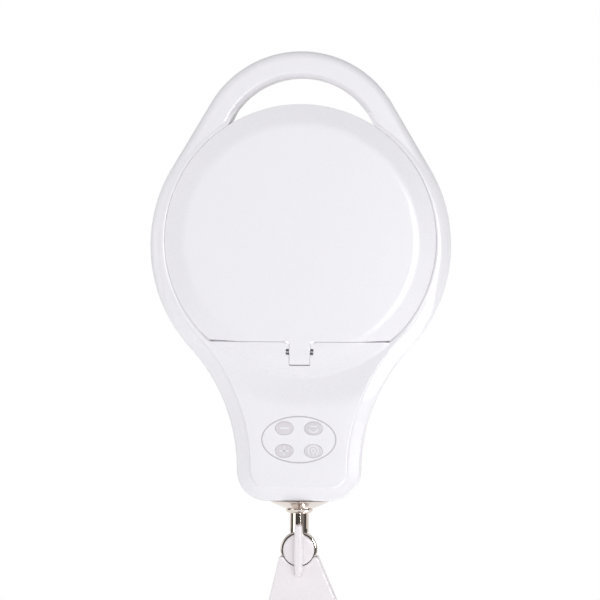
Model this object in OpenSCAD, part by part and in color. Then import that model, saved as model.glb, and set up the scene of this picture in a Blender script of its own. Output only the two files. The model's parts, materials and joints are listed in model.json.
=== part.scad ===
// Clamp magnifier lamp: lens head with hinged cover and carrying handle, two-stage swing arm, table clamp
// Lengths in millimetres, +Z up, origin on the table top under the centre of the clamp's upper jaw

/* [Lens] */
// Lens diameter
lens_d = 127; // [116:1:134]
// Lens edge thickness
lens_edge = 3; // [2:0.5:4]
// Bulge of each lens face above its edge
lens_bulge = 5.8; // [4:0.2:6.4]
// Width of lens edge hidden by its seat
lens_hold = 3; // [2:0.5:4]

/* [Head housing] */
// Wall thickness of the housing
wall = 2.4; // [1.8:0.2:3]
// Depth of the front shell
front_depth = 16; // [15:0.5:20]
// Depth of the rear shell
rear_depth = 20; // [18:0.5:26]
// Width of the sloped band round the front face
band_w = 7.6; // [5:0.2:9]
// Slope of that band in degrees
band_tilt = 12; // [8:1:20]
// Rounding of the head's front edge
front_round = 3.2; // [2.4:0.2:4]
// Height of the front face's edge above the band
face_step = 0.8; // [0.4:0.1:0.9]
// Width of the rounded band round the rear face
rear_band_w = 6; // [4:0.5:8]
// Height at which the rear band begins
band_z = 3; // [1:0.5:5]
// Rim left outside the cover
rim_land = 8; // [7:0.2:10]
// How far the rim round the cover lies below the front face
rim_low = 3.2; // [2.6:0.1:3.4]
// How far the rim's centre lies below the lens centre
rim_drop = 3; // [1:0.5:5]
// Width of the neck
neck_w = 72.5; // [68:0.5:84]
// Length of the neck below the cover's edge
neck_reach = 73; // [70:1:90]
// Corner radius at the neck's end
neck_corner = 18; // [14:0.5:20]

/* [Handle] */
// Outer radius of the handle's arch
arch_r = 61.5; // [56:0.5:66]
// Width of the handle bar
arch_bar = 15.6; // [14:0.2:20]
// Half depth of the handle bar
arch_half = 12; // [8:0.2:12.4]
// Rounding of the handle bar's edges
arch_round = 4.5; // [3.5:0.5:6.5]
// Clear height between housing and handle
finger_gap = 16.6; // [12:0.2:22]

/* [Cover] */
// Overall height of the cover
cover_h = 6.4; // [5.4:0.2:6.8]
// Wall thickness of the cover
cover_wall = 2; // [1.6:0.2:2.4]
// How far the cover reaches over the housing's inner edge
cover_lip = 1.1; // [0.6:0.1:1.6]
// Width of the cover's rounded edge
cover_round_w = 15; // [8:0.5:16]
// Drop of the cover's rounded edge
cover_round_h = 3.6; // [3:0.2:4.4]
// Depth of the straight cut along the hinge
cover_cut = 20; // [18:0.5:24]
// Width of the hinge tab
tab_w = 12.2; // [10:0.2:16]
// Length of the hinge tab below the straight cut
tab_l = 13.4; // [12:0.2:14]
// Distance of the hinge line below the straight cut
hinge_back = 5.8; // [5.4:0.1:6.4]
// Radius of the hinge pin
hinge_pin_r = 1.5; // [1:0.1:1.8]
// Length of the hinge pin
hinge_pin_l = 30; // [24:1:40]

/* [Light] */
// Width of the light ring's circuit board
led_board_w = 6; // [5.5:0.5:9]
// Thickness of the circuit boards
board_t = 1.6; // [1:0.2:2]
// Number of light chips
led_count = 36; // [12:3:48]
// Side of a light chip
led_side = 2.8; // [2:0.2:3.4]

/* [Touch panel] */
// Width of the oval panel
panel_w = 43; // [40:0.5:48]
// Height of the oval panel
panel_h = 26.8; // [25:0.2:30]
// Thickness of the oval panel
panel_t = 0.8; // [0.6:0.1:1.2]
// Height of the panel's centre above the neck's end
panel_up = 36; // [33:0.5:37]
// Width of a key
key_w = 10.5; // [9:0.5:13]
// Height of a key
key_h = 7.6; // [6:0.2:9]
// Sideways distance between keys
key_dx = 17; // [15:0.5:19]
// Upward distance between keys
key_dy = 13.2; // [11:0.2:14]

/* [Stem and tilt joint] */
// Radius of the stem
stem_r = 5.5; // [4.5:0.1:6]
// Distance from the neck's end to the tilt axis
stem_drop = 28.9; // [28:0.1:34]
// Radius of the stem's eye
eye_r = 10.75; // [9.8:0.05:11.5]
// Thickness of the stem's eye
eye_t = 8; // [6:0.5:9]
// Radius of the tilt bolt
bolt_r = 3; // [2:0.1:3.5]
// Radius of the bell under the neck
bell_r = 17.6; // [14:0.2:18]
// Height of the bell under the neck
bell_h = 7.5; // [6.5:0.1:8.5]
// Radius of the knob's disc
knob_r = 9.1; // [7.5:0.1:9.4]
// Length of the knob's grip bar
knob_l = 30; // [26:0.5:32]
// Width of the knob's grip bar
knob_w = 5; // [4:0.2:7]
// Height of the knob's grip bar
knob_h = 7; // [5:0.5:9]

/* [Swing arm] */
// Distance between the pivots of a lower bar
lower_l = 260; // [200:5:340]
// Distance between the pivots of an upper bar
upper_l = 260; // [200:5:340]
// Lean of the lower bars at rest, to the left
lower_lean = 50; // [35:1:56]
// Lean of the upper bars at rest, to the right
upper_lean = 50; // [35:1:56]
// Distance between the two bars of a stage
bar_pitch = 26; // [25:0.5:30]
// Side of a square bar
bar_w = 10; // [8:0.5:10.5]
// Wall of a square bar
bar_wall = 1.2; // [0.8:0.1:1.8]
// Radius of the pivot pins
pivot_r = 3; // [2:0.1:3.4]
// Thickness of the bracket plates
plate_t = 5.7; // [4:0.1:7]
// Radius of the plates round the pivots
lobe_r = 9; // [8:0.2:10]
// Height between the pivot rows of the elbow
elbow_h = 44; // [42:1:56]
// Distance from the tilt axis down to the head bracket's pivots
bracket_drop = 38; // [36:0.5:46]
// Sideways set of the head bracket's pivots
bracket_set = 3; // [0:0.5:5]

/* [Springs] */
// Radius of the spring wire
wire_r = 0.9; // [0.6:0.1:1]
// Mean radius of a curl
curl_r = 3.7; // [3:0.1:4]
// Rise of a curl
curl_rise = 4.2; // [3.6:0.1:4.6]
// Curls in each spring
curls = 14; // [8:1:16]
// Distance from the pivot to the spring pin on the bar
spring_at = 112; // [108:1:130]
// Radius of the spring pins
stud_r = 2; // [1.5:0.1:2.5]

/* [Clamp] */
// Width of the clamp frame
clamp_w = 34; // [32:1:44]
// Thickness of the clamp jaws
jaw_t = 12; // [10:0.5:16]
// Thickness of the clamp's back
back_t = 10; // [8:0.5:14]
// Clear height of the clamp frame
throat_h = 61; // [60:1:80]
// Reach of the clamp frame from the screw to the back
throat_d = 24; // [20:0.5:40]
// Thickness of the rubber pads
pad_t = 3; // [2:0.5:4]
// Opening of the clamp at rest
clamp_gap = 30; // [26:1:34]
// Radius of the swivel post
post_r = 6; // [5:0.1:7]
// Radius of the post's housing on the clamp
post_boss_r = 15; // [13:0.5:17]
// Height of the post's housing above the jaw
post_boss_h = 27; // [24:1:40]
// Radius of the clamp screw
screw_r = 5; // [4:0.1:6]
// Length of the clamp screw below its foot
screw_l = 74; // [70:1:90]
// Radius of the clamp foot
foot_r = 14; // [11:0.5:15]
// Length of the screw's turning bar
tommy_l = 72; // [50:1:90]

/* [Fits] */
// Gap between a seated part and its seat
seat_gap = 0.2; // [0.1:0.05:0.3]
// Running clearance of turning pins
run_gap = 0.05; // [0.02:0.01:0.08]
// Gap beside parts that move past each other
side_gap = 0.3; // [0.2:0.05:0.5]
// Gap round the closed cover
cover_gap = 0.5; // [0.4:0.1:0.8]

/* [Hidden] */
$fn = 64;
fine = 128;
coarse = 24;
ball_steps = 720;

white = [0.93, 0.92, 0.94];
chrome = [0.78, 0.78, 0.8];
glass = [0.8, 0.9, 0.95, 0.4];
milk = [0.96, 0.96, 0.93];
green = [0.1, 0.35, 0.2];
yellow = [0.95, 0.85, 0.4];
grey = [0.6, 0.6, 0.64];
black = [0.12, 0.12, 0.13];
steel = [0.66, 0.67, 0.7];
copper = [0.8, 0.6, 0.3];

// small overlap that lets cuts run clear of faces
over = 1;
// overlap that joins two touching forms
weld = 0.01;
// depth that passes right through the head
through = 60;

// radii stacked outward from the lens
lens_r = lens_d / 2;
lens_ball = (lens_r * lens_r + lens_bulge * lens_bulge) / (2 * lens_bulge);
lens_apex = lens_edge / 2 + lens_bulge;
lens_open = lens_r - lens_hold;
collar_in = lens_r + seat_gap;
collar_wall = 2.5;
collar_r = collar_in + collar_wall;
retainer_wall = 2.1;
retainer_r = collar_r + side_gap + retainer_wall;
led_room = 0.6;
led_in = retainer_r + led_room;
led_out = led_in + led_board_w;
led_mid = (led_in + led_out) / 2;
led_h = 0.8;
edge_room = 0.8;
edge_in = led_out + edge_room;
edge_r = edge_in + wall;
cover_r = edge_r + cover_lip;
recess_r = cover_r + cover_gap;
rim_r = recess_r + rim_land;

// heights through the head
bezel_t = 2.2;
bezel_top = front_depth - cover_h - 2 * seat_gap;
bezel_low = bezel_top - bezel_t;
lip_z = lens_apex - lens_ball + sqrt(lens_ball * lens_ball - lens_open * lens_open) + seat_gap / 2;
collar_skirt = 1.5;
collar_low = -lens_edge / 2 - collar_skirt;
roof_z = front_depth - wall;
rim_top = front_depth - rim_low;
rim_rise = 40;
floor_z = -rear_depth + wall;
retainer_floor = 2.7;
retainer_low = collar_low - side_gap - retainer_floor;
hollow_draft = 0.4;
hollow_steps = 3;

// diffuser ring
diffuser_step = 2.5;
diffuser_edge = 2.6;
diffuser_inset = 0.4;
diffuser_in = lens_open + diffuser_step;
diffuser_wall = 2;
diffuser_r = led_out - diffuser_edge;
diffuser_flange = edge_in - 2 * seat_gap;
diffuser_z = floor_z + seat_gap;
diffuser_t = 1.6;

// outline of the head
neck_half = neck_w / 2;
neck_len = cover_r + neck_reach;
flare_y = neck_corner - neck_len;
flare_dy = -flare_y - rim_drop;
flare_r = (neck_half * neck_half + flare_dy * flare_dy - rim_r * rim_r) / (2 * (rim_r - neck_half));
flare_x = neck_half + flare_r;
flare_a = atan2(flare_dy, flare_x);
ring_steps = 28;
flare_steps = 9;
corner_steps = 6;
band_steps = 7;
front_end = front_round * (1 - sin(band_tilt));
front_rise = (band_w - front_end) * tan(band_tilt) + face_step;
front_z = front_depth - front_rise - front_round * cos(band_tilt);

// handle
arch_in = arch_r - arch_bar;
arch_y = edge_r + finger_gap + arch_bar - arch_r;
arch_d = arch_y + rim_drop;
arch_a = asin((rim_r - arch_r) / arch_d);
arch_leg = arch_d * cos(arch_a);
arch_trim = 0.3;

// cover and its hinge
cover_low = front_depth - cover_h;
cover_ball = (cover_round_w * cover_round_w + cover_round_h * cover_round_h) / (2 * cover_round_h);
cover_flat = cover_r - cover_round_w;
chord_y = cover_cut - cover_r;
hinge_y = chord_y - hinge_back;
hinge_deep = 4;
hinge_z = front_depth - hinge_deep;
tab_end = chord_y - tab_l;
tail_y = hinge_y - tab_end;
tail_z = front_depth - hinge_z;
well_r = norm([tail_y, tail_z]) + 2 * side_gap;
// radius in which the shell's straight edge stays as the cover turns past it
swing_r = norm([hinge_back - cover_gap, hinge_deep]) + side_gap / 2;
// the cover's corners stand back from the round rim by a cone about the hinge line
corner_x = sqrt(pow(recess_r, 2) - pow(chord_y - cover_gap, 2));
corner_l = 6;
corner_share = 0.95;
corner_grow = corner_share * corner_l * corner_x / -chord_y;
knuckle_wall = 2;
knuckle_r = hinge_pin_r + knuckle_wall;
neck_top = hinge_y - well_r - wall;
notch_w = 1.8;
notch_h = 3.2;

// touch panel
panel_y = panel_up - neck_len;
touch_side = 6;
touch_end = 5;
touch_gap = 2.6;
touch_w = key_dx + key_w + 2 * touch_side;
touch_h = key_dy + key_h + 2 * touch_end;
touch_z = roof_z - touch_gap;
touch_post_r = 2;
touch_pin_r = 0.9;
touch_pin_out = 0.6;
contact_in = 0.6;
oval_steps = 64;
key_gap = 0.1;
post_in = 3;

// shell screws
boss_r = 3.5;
screw_shank = 1.4;
screw_head = 2.8;
screw_head_h = 2;
screw_fit = 0.06;
boss_room = 0.6;
ring_boss = rim_r - wall - boss_r - boss_room;
ring_boss_a = [14, 166, 205, 335];
neck_boss_in = 3.4;
neck_boss_up = 14;
neck_boss_x = neck_half - wall - boss_r - neck_boss_in;
neck_boss_y = neck_boss_up - neck_len;
screw_seat_t = 3;
screw_seat = floor_z + screw_seat_t;

// stem
stem_z = (front_depth - rear_depth) / 2;
stem_room = 0.6;
bush_wall = 4.5;
bush_step = 2.5;
bush_r = stem_r + bush_wall;
bush_flange = bush_r + bush_step;
bush_low = side_gap + wall - neck_len;
bush_l = 15.2;
rib_t = 3.6;
rib_side = 3;
rib_in = 1.4;
rib_half = bush_flange + rib_side;
rib_y = [bush_low + rib_in, bush_low + bush_l - rib_in - rib_t];
clip_t = 1;
clip_w = 2.5;
clip_groove = 0.9;
clip_mouth = 3;
clip_r = stem_r + clip_w;
clip_in = stem_r - clip_groove;
clip_low = bush_low + bush_l + side_gap;
stem_end = 1.5;
stem_top = clip_low + clip_t + stem_end;
eye_y = -neck_len - stem_drop;
shank_start = 0.5;
shank_in = 0.7;
shank_side = 0.3;
stem_neck = eye_r + shank_start;
bell_top = -neck_len - side_gap;
bell_rim = 1.2;
bead_r = 8.2;
groove_r = 7.2;
bell_lip = 0.6;
waist_step = 2;
// levels of the bell as shares of its height
waist_at = 0.5;
groove_at = [0.54, 0.6];
bead_at = [0.64, 0.8];
sweep_at = 0.78;

// power inlet
inlet_up = 4;
inlet_proud = 0.6;
inlet_y = panel_y + inlet_up;
inlet_r = 5;
inlet_hole = 2.75;
inlet_pin = 1;
inlet_w = 11;
inlet_h = 14;
inlet_d = 8;

// swing arm
slot_half = bar_w / 2 + side_gap;
plate_out = slot_half + plate_t;
half_pitch = bar_pitch / 2;
pin_head_w = 1.6;
pin_head_r = pivot_r + pin_head_w;
pin_head_h = 2;
bar_bore = pivot_r + run_gap;
stud_drop = 12;
spring_side = 1;
stud_y = plate_out + pin_head_h + spring_side + curl_r + wire_r;
stud_l = stud_y + curl_r;
ramp = 8;
ring_turn = 8;
wire_sides = 6;

// heights of the arm
boss_top = pad_t + jaw_t + post_boss_h;
washer_t = 1.5;
flange_t = 8;
tongue_h = 16;
tongue_room = 5;
tongue_gap = lobe_r + tongue_room;
base_z = boss_top + washer_t + flange_t + tongue_h + tongue_gap;
elbow_x = -lower_l * sin(lower_lean);
elbow_z = base_z + lower_l * cos(lower_lean);
crook_z = elbow_z + elbow_h;
bracket_x = elbow_x + upper_l * sin(upper_lean);
bracket_z = crook_z + upper_l * cos(upper_lean);
tilt_x = bracket_x - bracket_set;
tilt_z = bracket_z + bracket_drop;
lens_z = tilt_z - eye_y;

// head bracket
seat_room = 0.15;
cheek_in = 0.9;
shoulder_land = 0.2;
seat_r = eye_r + side_gap + seat_room;
cheek_r = eye_r - cheek_in;
shoulder_x = seat_r + shoulder_land;
shoulder_z = -4;
shoulder_r = 0.8;
web_room = 11;
web_low = lobe_r + web_room - bracket_drop;
knob_back = slot_half;
knob_proud = 0.4;
knob_sink = 0.2;
knob_t = plate_t + knob_proud;
bolt_cover = 2;
bolt_out = 1.5;
washer_r = 7.4;
nut_share = 1.9;
nut_r = bolt_r * nut_share;
nut_t = 5;
bracket_screw_r = 1.6;
bracket_screw_x = 8;
bracket_screw_z = -14.5;
bracket_screw_end = 2;
bracket_screw_step = 1.4;
bracket_screw_h = 1.6;

// clamp
jaw_low = pad_t - throat_h;
foot_top = -clamp_gap;
foot_t = 3;
socket_wall = 3;
socket_r = screw_r + socket_wall;
socket_h = 8;
foot_low = foot_top - pad_t - foot_t;
nose_step = 1;
nose_r = screw_r - nose_step;
nose_l = 7;
screw_top = foot_low - socket_h - side_gap;
head_r = screw_r + socket_wall;
head_h = 16;
tommy_r = 3;
cap_r = 5;
cap_sink = 6;
cap_l = 8;
jaw_reach = 22;
jaw_set = 6;
pad_in = 2;
nut_boss_wall = 6;
nut_boss_r = screw_r + nut_boss_wall;
nut_boss_h = 4;
corner_out = 8;
corner_in = 6;
post_floor = 5;
post_l = post_boss_h + jaw_t - post_floor;
base_bolt_r = 2;
base_bolt_x = 9;
base_bolt_step = 1.6;
base_bolt_h = 2;
base_form_low = tongue_gap + tongue_h;
tongue_side = 2;
tongue_half = half_pitch + tongue_side;
flange_step = 1;
flange_r = post_boss_r + flange_step;
spacer_room = 1;

function arc(c, r, a0, a1, n, skip = 0) =
  [for (i = [skip:n]) let (a = a0 + (a1 - a0) * i / n) c + r * [cos(a), sin(a)]];

// right half of the head's outline, moved inward by e
function half_outline(e) = concat(
  arc([0, -rim_drop], rim_r - e, 90, -flare_a, ring_steps),
  arc([flare_x, flare_y], flare_r + e, 180 - flare_a, 180, flare_steps, 1),
  arc([neck_half - neck_corner, neck_corner - neck_len], neck_corner - e, 0, -90, corner_steps, 1)
);

function outline(e) = let (h = half_outline(e), n = len(h))
  concat(h, [for (i = [n - 1:-1:1]) [-h[i][0], h[i][1]]]);

// levels [inset, height] of the rounded front edge, and of a rounded band
function front_band() =
  [for (i = [0:band_steps]) let (a = (90 - band_tilt) * i / band_steps)
    [front_round * (1 - cos(a)), front_z + front_round * sin(a)]];
function band(w, e, z0, z1, n) =
  [for (i = [0:n]) let (a = 90 * i / n) [e + w * (1 - cos(a)), z0 + (z1 - z0) * sin(a)]];

function oval(w, h) =
  [for (i = [0:oval_steps - 1]) let (a = 360 * i / oval_steps) [w / 2 * cos(a), h / 2 * sin(a)]];

module loft(levels) {
  rings = [for (l = levels) outline(l[0])];
  n = len(rings[0]);
  m = len(levels);
  pts = [for (k = [0:m - 1]) for (p = rings[k]) [p[0], p[1], levels[k][1]]];
  sides = [for (k = [0:m - 2]) for (i = [0:n - 1]) let (j = (i + 1) % n)
    each [[(k + 1) * n + j, (k + 1) * n + i, k * n + i], [(k + 1) * n + j, k * n + i, k * n + j]]];
  low = [[for (i = [n - 1:-1:0]) i]];
  top = [[for (i = [0:n - 1]) (m - 1) * n + i]];
  polyhedron(points = pts, faces = concat(sides, low, top), convexity = 8);
}

// places head parts: x right, y up, z toward the viewer, lens centre at the origin
module in_head() {
  translate([tilt_x, stem_z, lens_z]) rotate([90, 0, 0]) children();
}

// cylinder along the head's y axis, from y0 to y1
module shaft(r, y0, y1) {
  translate([0, y1, stem_z]) rotate([90, 0, 0]) cylinder(r = r, h = y1 - y0);
}

// cylinder along the hinge line
module hinge_rod(r, l) {
  translate([0, hinge_y, hinge_z]) rotate([0, 90, 0]) cylinder(r = r, h = l, center = true);
}

// room in which the cover's tab turns
module tab_well() {
  hinge_rod(well_r, tab_w + 2 * cover_gap);
}

// cylinder along the world's Y axis, from y0 to y1, at x and z
module rod_y(x, z, r, y0, y1) {
  translate([x, y1, z]) rotate([90, 0, 0]) cylinder(r = r, h = y1 - y0);
}

module handle_profile() {
  translate([arch_in + arch_round, 0]) square([arch_bar - 2 * arch_round, arch_half]);
  translate([arch_in, 0]) square([arch_bar, arch_half - arch_round]);
  intersection() {
    union() {
      translate([arch_in + arch_round, arch_half - arch_round]) circle(r = arch_round);
      translate([arch_r - arch_round, arch_half - arch_round]) circle(r = arch_round);
    }
    translate([arch_in - over, 0]) square([arch_bar + 2 * over, arch_half + over]);
  }
}

module handle_leg() {
  translate([0, arch_y, 0]) rotate([0, 0, arch_a]) rotate([90, 0, 0])
    linear_extrude(height = arch_leg) handle_profile();
}

module handle_half() {
  translate([0, arch_y, 0]) rotate([0, 0, arch_a])
    rotate_extrude(angle = 180 - 2 * arch_a, $fn = fine) handle_profile();
  handle_leg();
  mirror([1, 0, 0]) handle_leg();
}

module window_cut() {
  translate([0, 0, -through / 2]) linear_extrude(height = through) difference() {
    translate([0, arch_y]) circle(r = arch_in + arch_trim, $fn = fine);
    circle(r = edge_r, $fn = fine);
  }
}

// material kept round the window when a shell is hollowed
module window_wall() {
  translate([0, 0, -through / 2]) linear_extrude(height = through) difference() {
    translate([0, arch_y]) circle(r = arch_in + wall + arch_trim, $fn = fine);
    circle(r = edge_in, $fn = fine);
  }
}

module boss_spots() {
  for (a = ring_boss_a)
    translate([ring_boss * cos(a), ring_boss * sin(a) - rim_drop, 0]) children();
}

module neck_boss_spots() {
  for (s = [-1, 1])
    translate([s * neck_boss_x, neck_boss_y, 0]) children();
}

module ribs(z0, z1) {
  for (y = rib_y)
    translate([-rib_half, y, z0]) cube([2 * rib_half, rib_t, z1 - z0]);
}

module collar() {
  rotate_extrude($fn = fine) polygon([
    [collar_r, collar_low], [collar_r, bezel_low + over], [lens_open, bezel_low + over],
    [lens_open, lip_z], [collar_in, lip_z], [collar_in, collar_low]
  ]);
}

module front_hollow() {
  difference() {
    loft([[wall, -over], [wall + hollow_draft, bezel_low]]);
    window_wall();
  }
  intersection() {
    loft([[wall, -over], [wall, front_z - over], [wall + front_end, roof_z - front_rise],
      [wall + band_w, roof_z]]);
    translate([-neck_w, -2 * neck_len, -2 * over]) cube([2 * neck_w, 2 * neck_len + neck_top, through]);
  }
}

module cover_recess() {
  difference() {
    translate([0, 0, bezel_top]) cylinder(r = recess_r, h = front_depth, $fn = fine);
    translate([-rim_r, chord_y - cover_gap - rim_r, 0]) cube([2 * rim_r, rim_r, 2 * through]);
  }
  translate([0, 0, bezel_low - over]) cylinder(r = lens_open, h = through, $fn = fine);
}

// lowers the rim round the cover, rising to the face at the straight cut
module rim_cut() {
  rotate([90, 0, 90]) translate([0, 0, -rim_r]) linear_extrude(height = 2 * rim_r) polygon([
    [chord_y, front_depth], [chord_y + rim_rise, rim_top], [2 * rim_r, rim_top],
    [2 * rim_r, 2 * front_depth], [chord_y, 2 * front_depth]
  ]);
}

module hinge_cut() {
  tab_well();
  hinge_rod(hinge_pin_r + run_gap, hinge_pin_l + 2 * side_gap);
  for (s = [-1, 1])
    translate([s * (tab_w / 2 + cover_gap + notch_w / 2), hinge_y, hinge_z])
      translate([-notch_w / 2 - run_gap, -notch_h / 2, 0]) cube([notch_w + run_gap, notch_h, through]);
}

module front_shell() color(white) in_head() difference() {
  union() {
    difference() {
      union() {
        loft(concat([[0, 0]], front_band(), [[band_w, front_depth - face_step],
          [band_w + face_step, front_depth]]));
        handle_half();
      }
      front_hollow();
      window_cut();
      cover_recess();
      rim_cut();
    }
    collar();
    ribs(0, roof_z + over);
    boss_spots() cylinder(r = boss_r, h = bezel_low + over);
    neck_boss_spots() cylinder(r = boss_r, h = roof_z + over / 2);
    touch_posts();
  }
  hinge_cut();
  translate([0, panel_y, front_depth - panel_t]) linear_extrude(height = over + panel_t)
    polygon(oval(panel_w + 2 * key_gap, panel_h + 2 * key_gap));
  shaft(stem_r + stem_room, -neck_len - over, -neck_len + wall + over);
  shaft(bush_r + run_gap, bush_low - over, bush_low + bush_l + over);
  boss_spots() translate([0, 0, -over]) cylinder(r = screw_shank + screw_fit, h = bezel_low);
  neck_boss_spots() translate([0, 0, -over]) cylinder(r = screw_shank + screw_fit, h = bezel_low);
}

module touch_posts() {
  for (sx = [-1, 1]) for (sy = [-1, 1])
    translate([sx * (touch_w / 2 - post_in), panel_y + sy * (touch_h / 2 - post_in), 0]) {
      translate([0, 0, touch_z]) cylinder(r = touch_post_r, h = roof_z - touch_z + over / 2);
      translate([0, 0, touch_z - board_t - touch_pin_out]) cylinder(r = touch_pin_r, h = board_t + over);
    }
}

module rear_skin() {
  mirror([0, 0, 1]) loft(concat([[0, 0]], band(rear_band_w, 0, band_z, rear_depth, band_steps)));
  mirror([0, 0, 1]) handle_half();
}

module rear_shell() color(white) in_head() difference() {
  union() {
    difference() {
      rear_skin();
      difference() {
        mirror([0, 0, 1])
          loft(concat([[wall, -over]], band(rear_band_w, wall, band_z, -floor_z, hollow_steps)));
        window_wall();
      }
      window_cut();
    }
    ribs(floor_z - over, 0);
    boss_spots() translate([0, 0, floor_z - over / 2]) cylinder(r = boss_r, h = over / 2 - floor_z);
    neck_boss_spots() translate([0, 0, floor_z - over / 2]) cylinder(r = boss_r, h = over / 2 - floor_z);
  }
  translate([0, 0, -through]) cylinder(r = diffuser_r + seat_gap, h = through, $fn = fine);
  shaft(stem_r + stem_room, -neck_len - over, -neck_len + wall + over);
  shaft(bush_r + run_gap, bush_low - over, bush_low + bush_l + over);
  boss_spots() screw_way();
  neck_boss_spots() screw_way();
  translate([0, inlet_y, -through]) cylinder(r = inlet_r + seat_gap, h = through);
}

module screw_way() {
  translate([0, 0, -through]) cylinder(r = screw_shank + 4 * screw_fit, h = 2 * through);
  translate([0, 0, -through]) cylinder(r = screw_head + seat_gap, h = through + screw_seat);
}

module screw() {
  translate([0, 0, screw_seat - screw_head_h]) cylinder(r = screw_head, h = screw_head_h);
  translate([0, 0, screw_seat - over / 2]) cylinder(r = screw_shank, h = bezel_low - screw_seat - over);
}

module shell_screws() color(steel) in_head() {
  boss_spots() screw();
  neck_boss_spots() screw();
}

module lens() color(glass) in_head() rotate_extrude($fn = fine) intersection() {
  translate([0, lens_apex - lens_ball]) circle(r = lens_ball, $fn = ball_steps);
  translate([0, lens_ball - lens_apex]) circle(r = lens_ball, $fn = ball_steps);
  translate([0, -through / 2]) square([lens_r, through]);
}

module lens_retainer() color(white) in_head() rotate_extrude($fn = fine) polygon([
  [lens_open, -lip_z], [collar_in - side_gap, -lip_z], [collar_in - side_gap, collar_low - side_gap],
  [collar_r + side_gap, collar_low - side_gap], [collar_r + side_gap, lip_z], [retainer_r, lip_z],
  [retainer_r, retainer_low], [lens_open, retainer_low]
]);

module led_board() color(green) in_head() difference() {
  translate([0, 0, bezel_low - board_t]) difference() {
    cylinder(r = led_out, h = board_t, $fn = fine);
    translate([0, 0, -over]) cylinder(r = led_in, h = board_t + 2 * over, $fn = fine);
  }
  tab_well();
}

// chips round the board, counted from the place of the hinge tab, which has none
module leds() color(yellow) in_head() for (i = [1:led_count - 1])
  rotate([0, 0, 360 * i / led_count - 90])
    translate([led_mid - led_side / 2, -led_side / 2, bezel_low - board_t - led_h])
      cube([led_side, led_side, led_h]);

module diffuser() color(milk) in_head() rotate_extrude($fn = fine) polygon([
  [diffuser_in, retainer_low - seat_gap], [diffuser_in, -rear_depth + diffuser_inset],
  [diffuser_r, -rear_depth + diffuser_inset], [diffuser_r, diffuser_z],
  [diffuser_flange, diffuser_z], [diffuser_flange, diffuser_z + diffuser_t],
  [diffuser_in + diffuser_wall, diffuser_z + diffuser_t],
  [diffuser_in + diffuser_wall, retainer_low - seat_gap]
]);

module key_spots() {
  for (sx = [-1, 1]) for (sy = [-1, 1])
    translate([sx * key_dx / 2, panel_y + sy * key_dy / 2, 0]) children();
}

module touch_panel() color(white) in_head() translate([0, 0, front_depth - panel_t]) difference() {
  translate([0, panel_y, 0]) linear_extrude(height = panel_t) polygon(oval(panel_w, panel_h));
  key_spots() translate([0, 0, -over]) linear_extrude(height = panel_t + 2 * over)
    polygon(oval(key_w + 2 * key_gap, key_h + 2 * key_gap));
}

module touch_keys() color(grey) in_head() key_spots()
  translate([0, 0, front_depth - panel_t]) linear_extrude(height = panel_t) polygon(oval(key_w, key_h));

module touch_board() color(green) in_head() translate([0, panel_y, touch_z - board_t]) difference() {
  translate([-touch_w / 2, -touch_h / 2, 0]) cube([touch_w, touch_h, board_t]);
  for (sx = [-1, 1]) for (sy = [-1, 1])
    translate([sx * (touch_w / 2 - post_in), sy * (touch_h / 2 - post_in), -over])
      cylinder(r = touch_pin_r + key_gap, h = board_t + 2 * over);
}

module touch_springs() color(copper) in_head() key_spots()
  translate([0, 0, touch_z]) cylinder(r = key_h / 2 - contact_in, h = roof_z - touch_z);

module power_inlet() color(black) in_head() translate([0, inlet_y, 0]) {
  difference() {
    union() {
      translate([0, 0, -rear_depth - inlet_proud]) cylinder(r = inlet_r, h = wall + over);
      translate([-inlet_w / 2, -inlet_h / 2, floor_z + seat_gap]) cube([inlet_w, inlet_h, inlet_d]);
    }
    translate([0, 0, -rear_depth - over]) cylinder(r = inlet_hole, h = inlet_d + over);
  }
  translate([0, 0, -rear_depth + over]) cylinder(r = inlet_pin, h = inlet_d);
}

module swivel_bush() color(steel) in_head() difference() {
  union() {
    shaft(bush_r, bush_low, bush_low + bush_l);
    shaft(bush_flange, rib_y[0] + rib_t + seat_gap, rib_y[1] - seat_gap);
  }
  shaft(stem_r + run_gap, bush_low - over, bush_low + bush_l + over);
}

module cover_body(inner) {
  t = inner * cover_wall;
  rotate_extrude($fn = fine) {
    translate([0, cover_low - inner * over])
      square([cover_flat + weld, cover_h - t + inner * over]);
    intersection() {
      translate([cover_flat, front_depth - cover_ball]) circle(r = cover_ball - t, $fn = fine);
      translate([cover_flat, cover_low - inner * over])
        square([cover_round_w - t, cover_h + inner * over]);
    }
  }
}

module below_chord(y) {
  translate([-rim_r, y - 2 * rim_r, -through]) cube([2 * rim_r, 2 * rim_r, 2 * through]);
}

// room for the shell's edge as the cover turns: a rod along the straight edge, a cone at each corner
module swing_room() {
  hinge_rod(swing_r, 2 * cover_r);
  for (s = [-1, 1])
    translate([s * corner_x, hinge_y, hinge_z]) rotate([0, s * 90, 0])
      cylinder(r1 = swing_r, r2 = swing_r + corner_grow, h = corner_l);
}

module lens_cover() color(white) in_head() difference() {
  union() {
    difference() {
      cover_body(0);
      difference() {
        cover_body(1);
        below_chord(chord_y + cover_wall);
      }
      below_chord(chord_y);
      swing_room();
    }
    translate([-tab_w / 2, tab_end, hinge_z]) cube([tab_w, tab_l + cover_wall, front_depth - hinge_z]);
    hinge_rod(knuckle_r, tab_w);
  }
  hinge_rod(hinge_pin_r + run_gap, tab_w + 2 * over);
}

module cover_pin() color(steel) in_head() hinge_rod(hinge_pin_r, hinge_pin_l);

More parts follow.
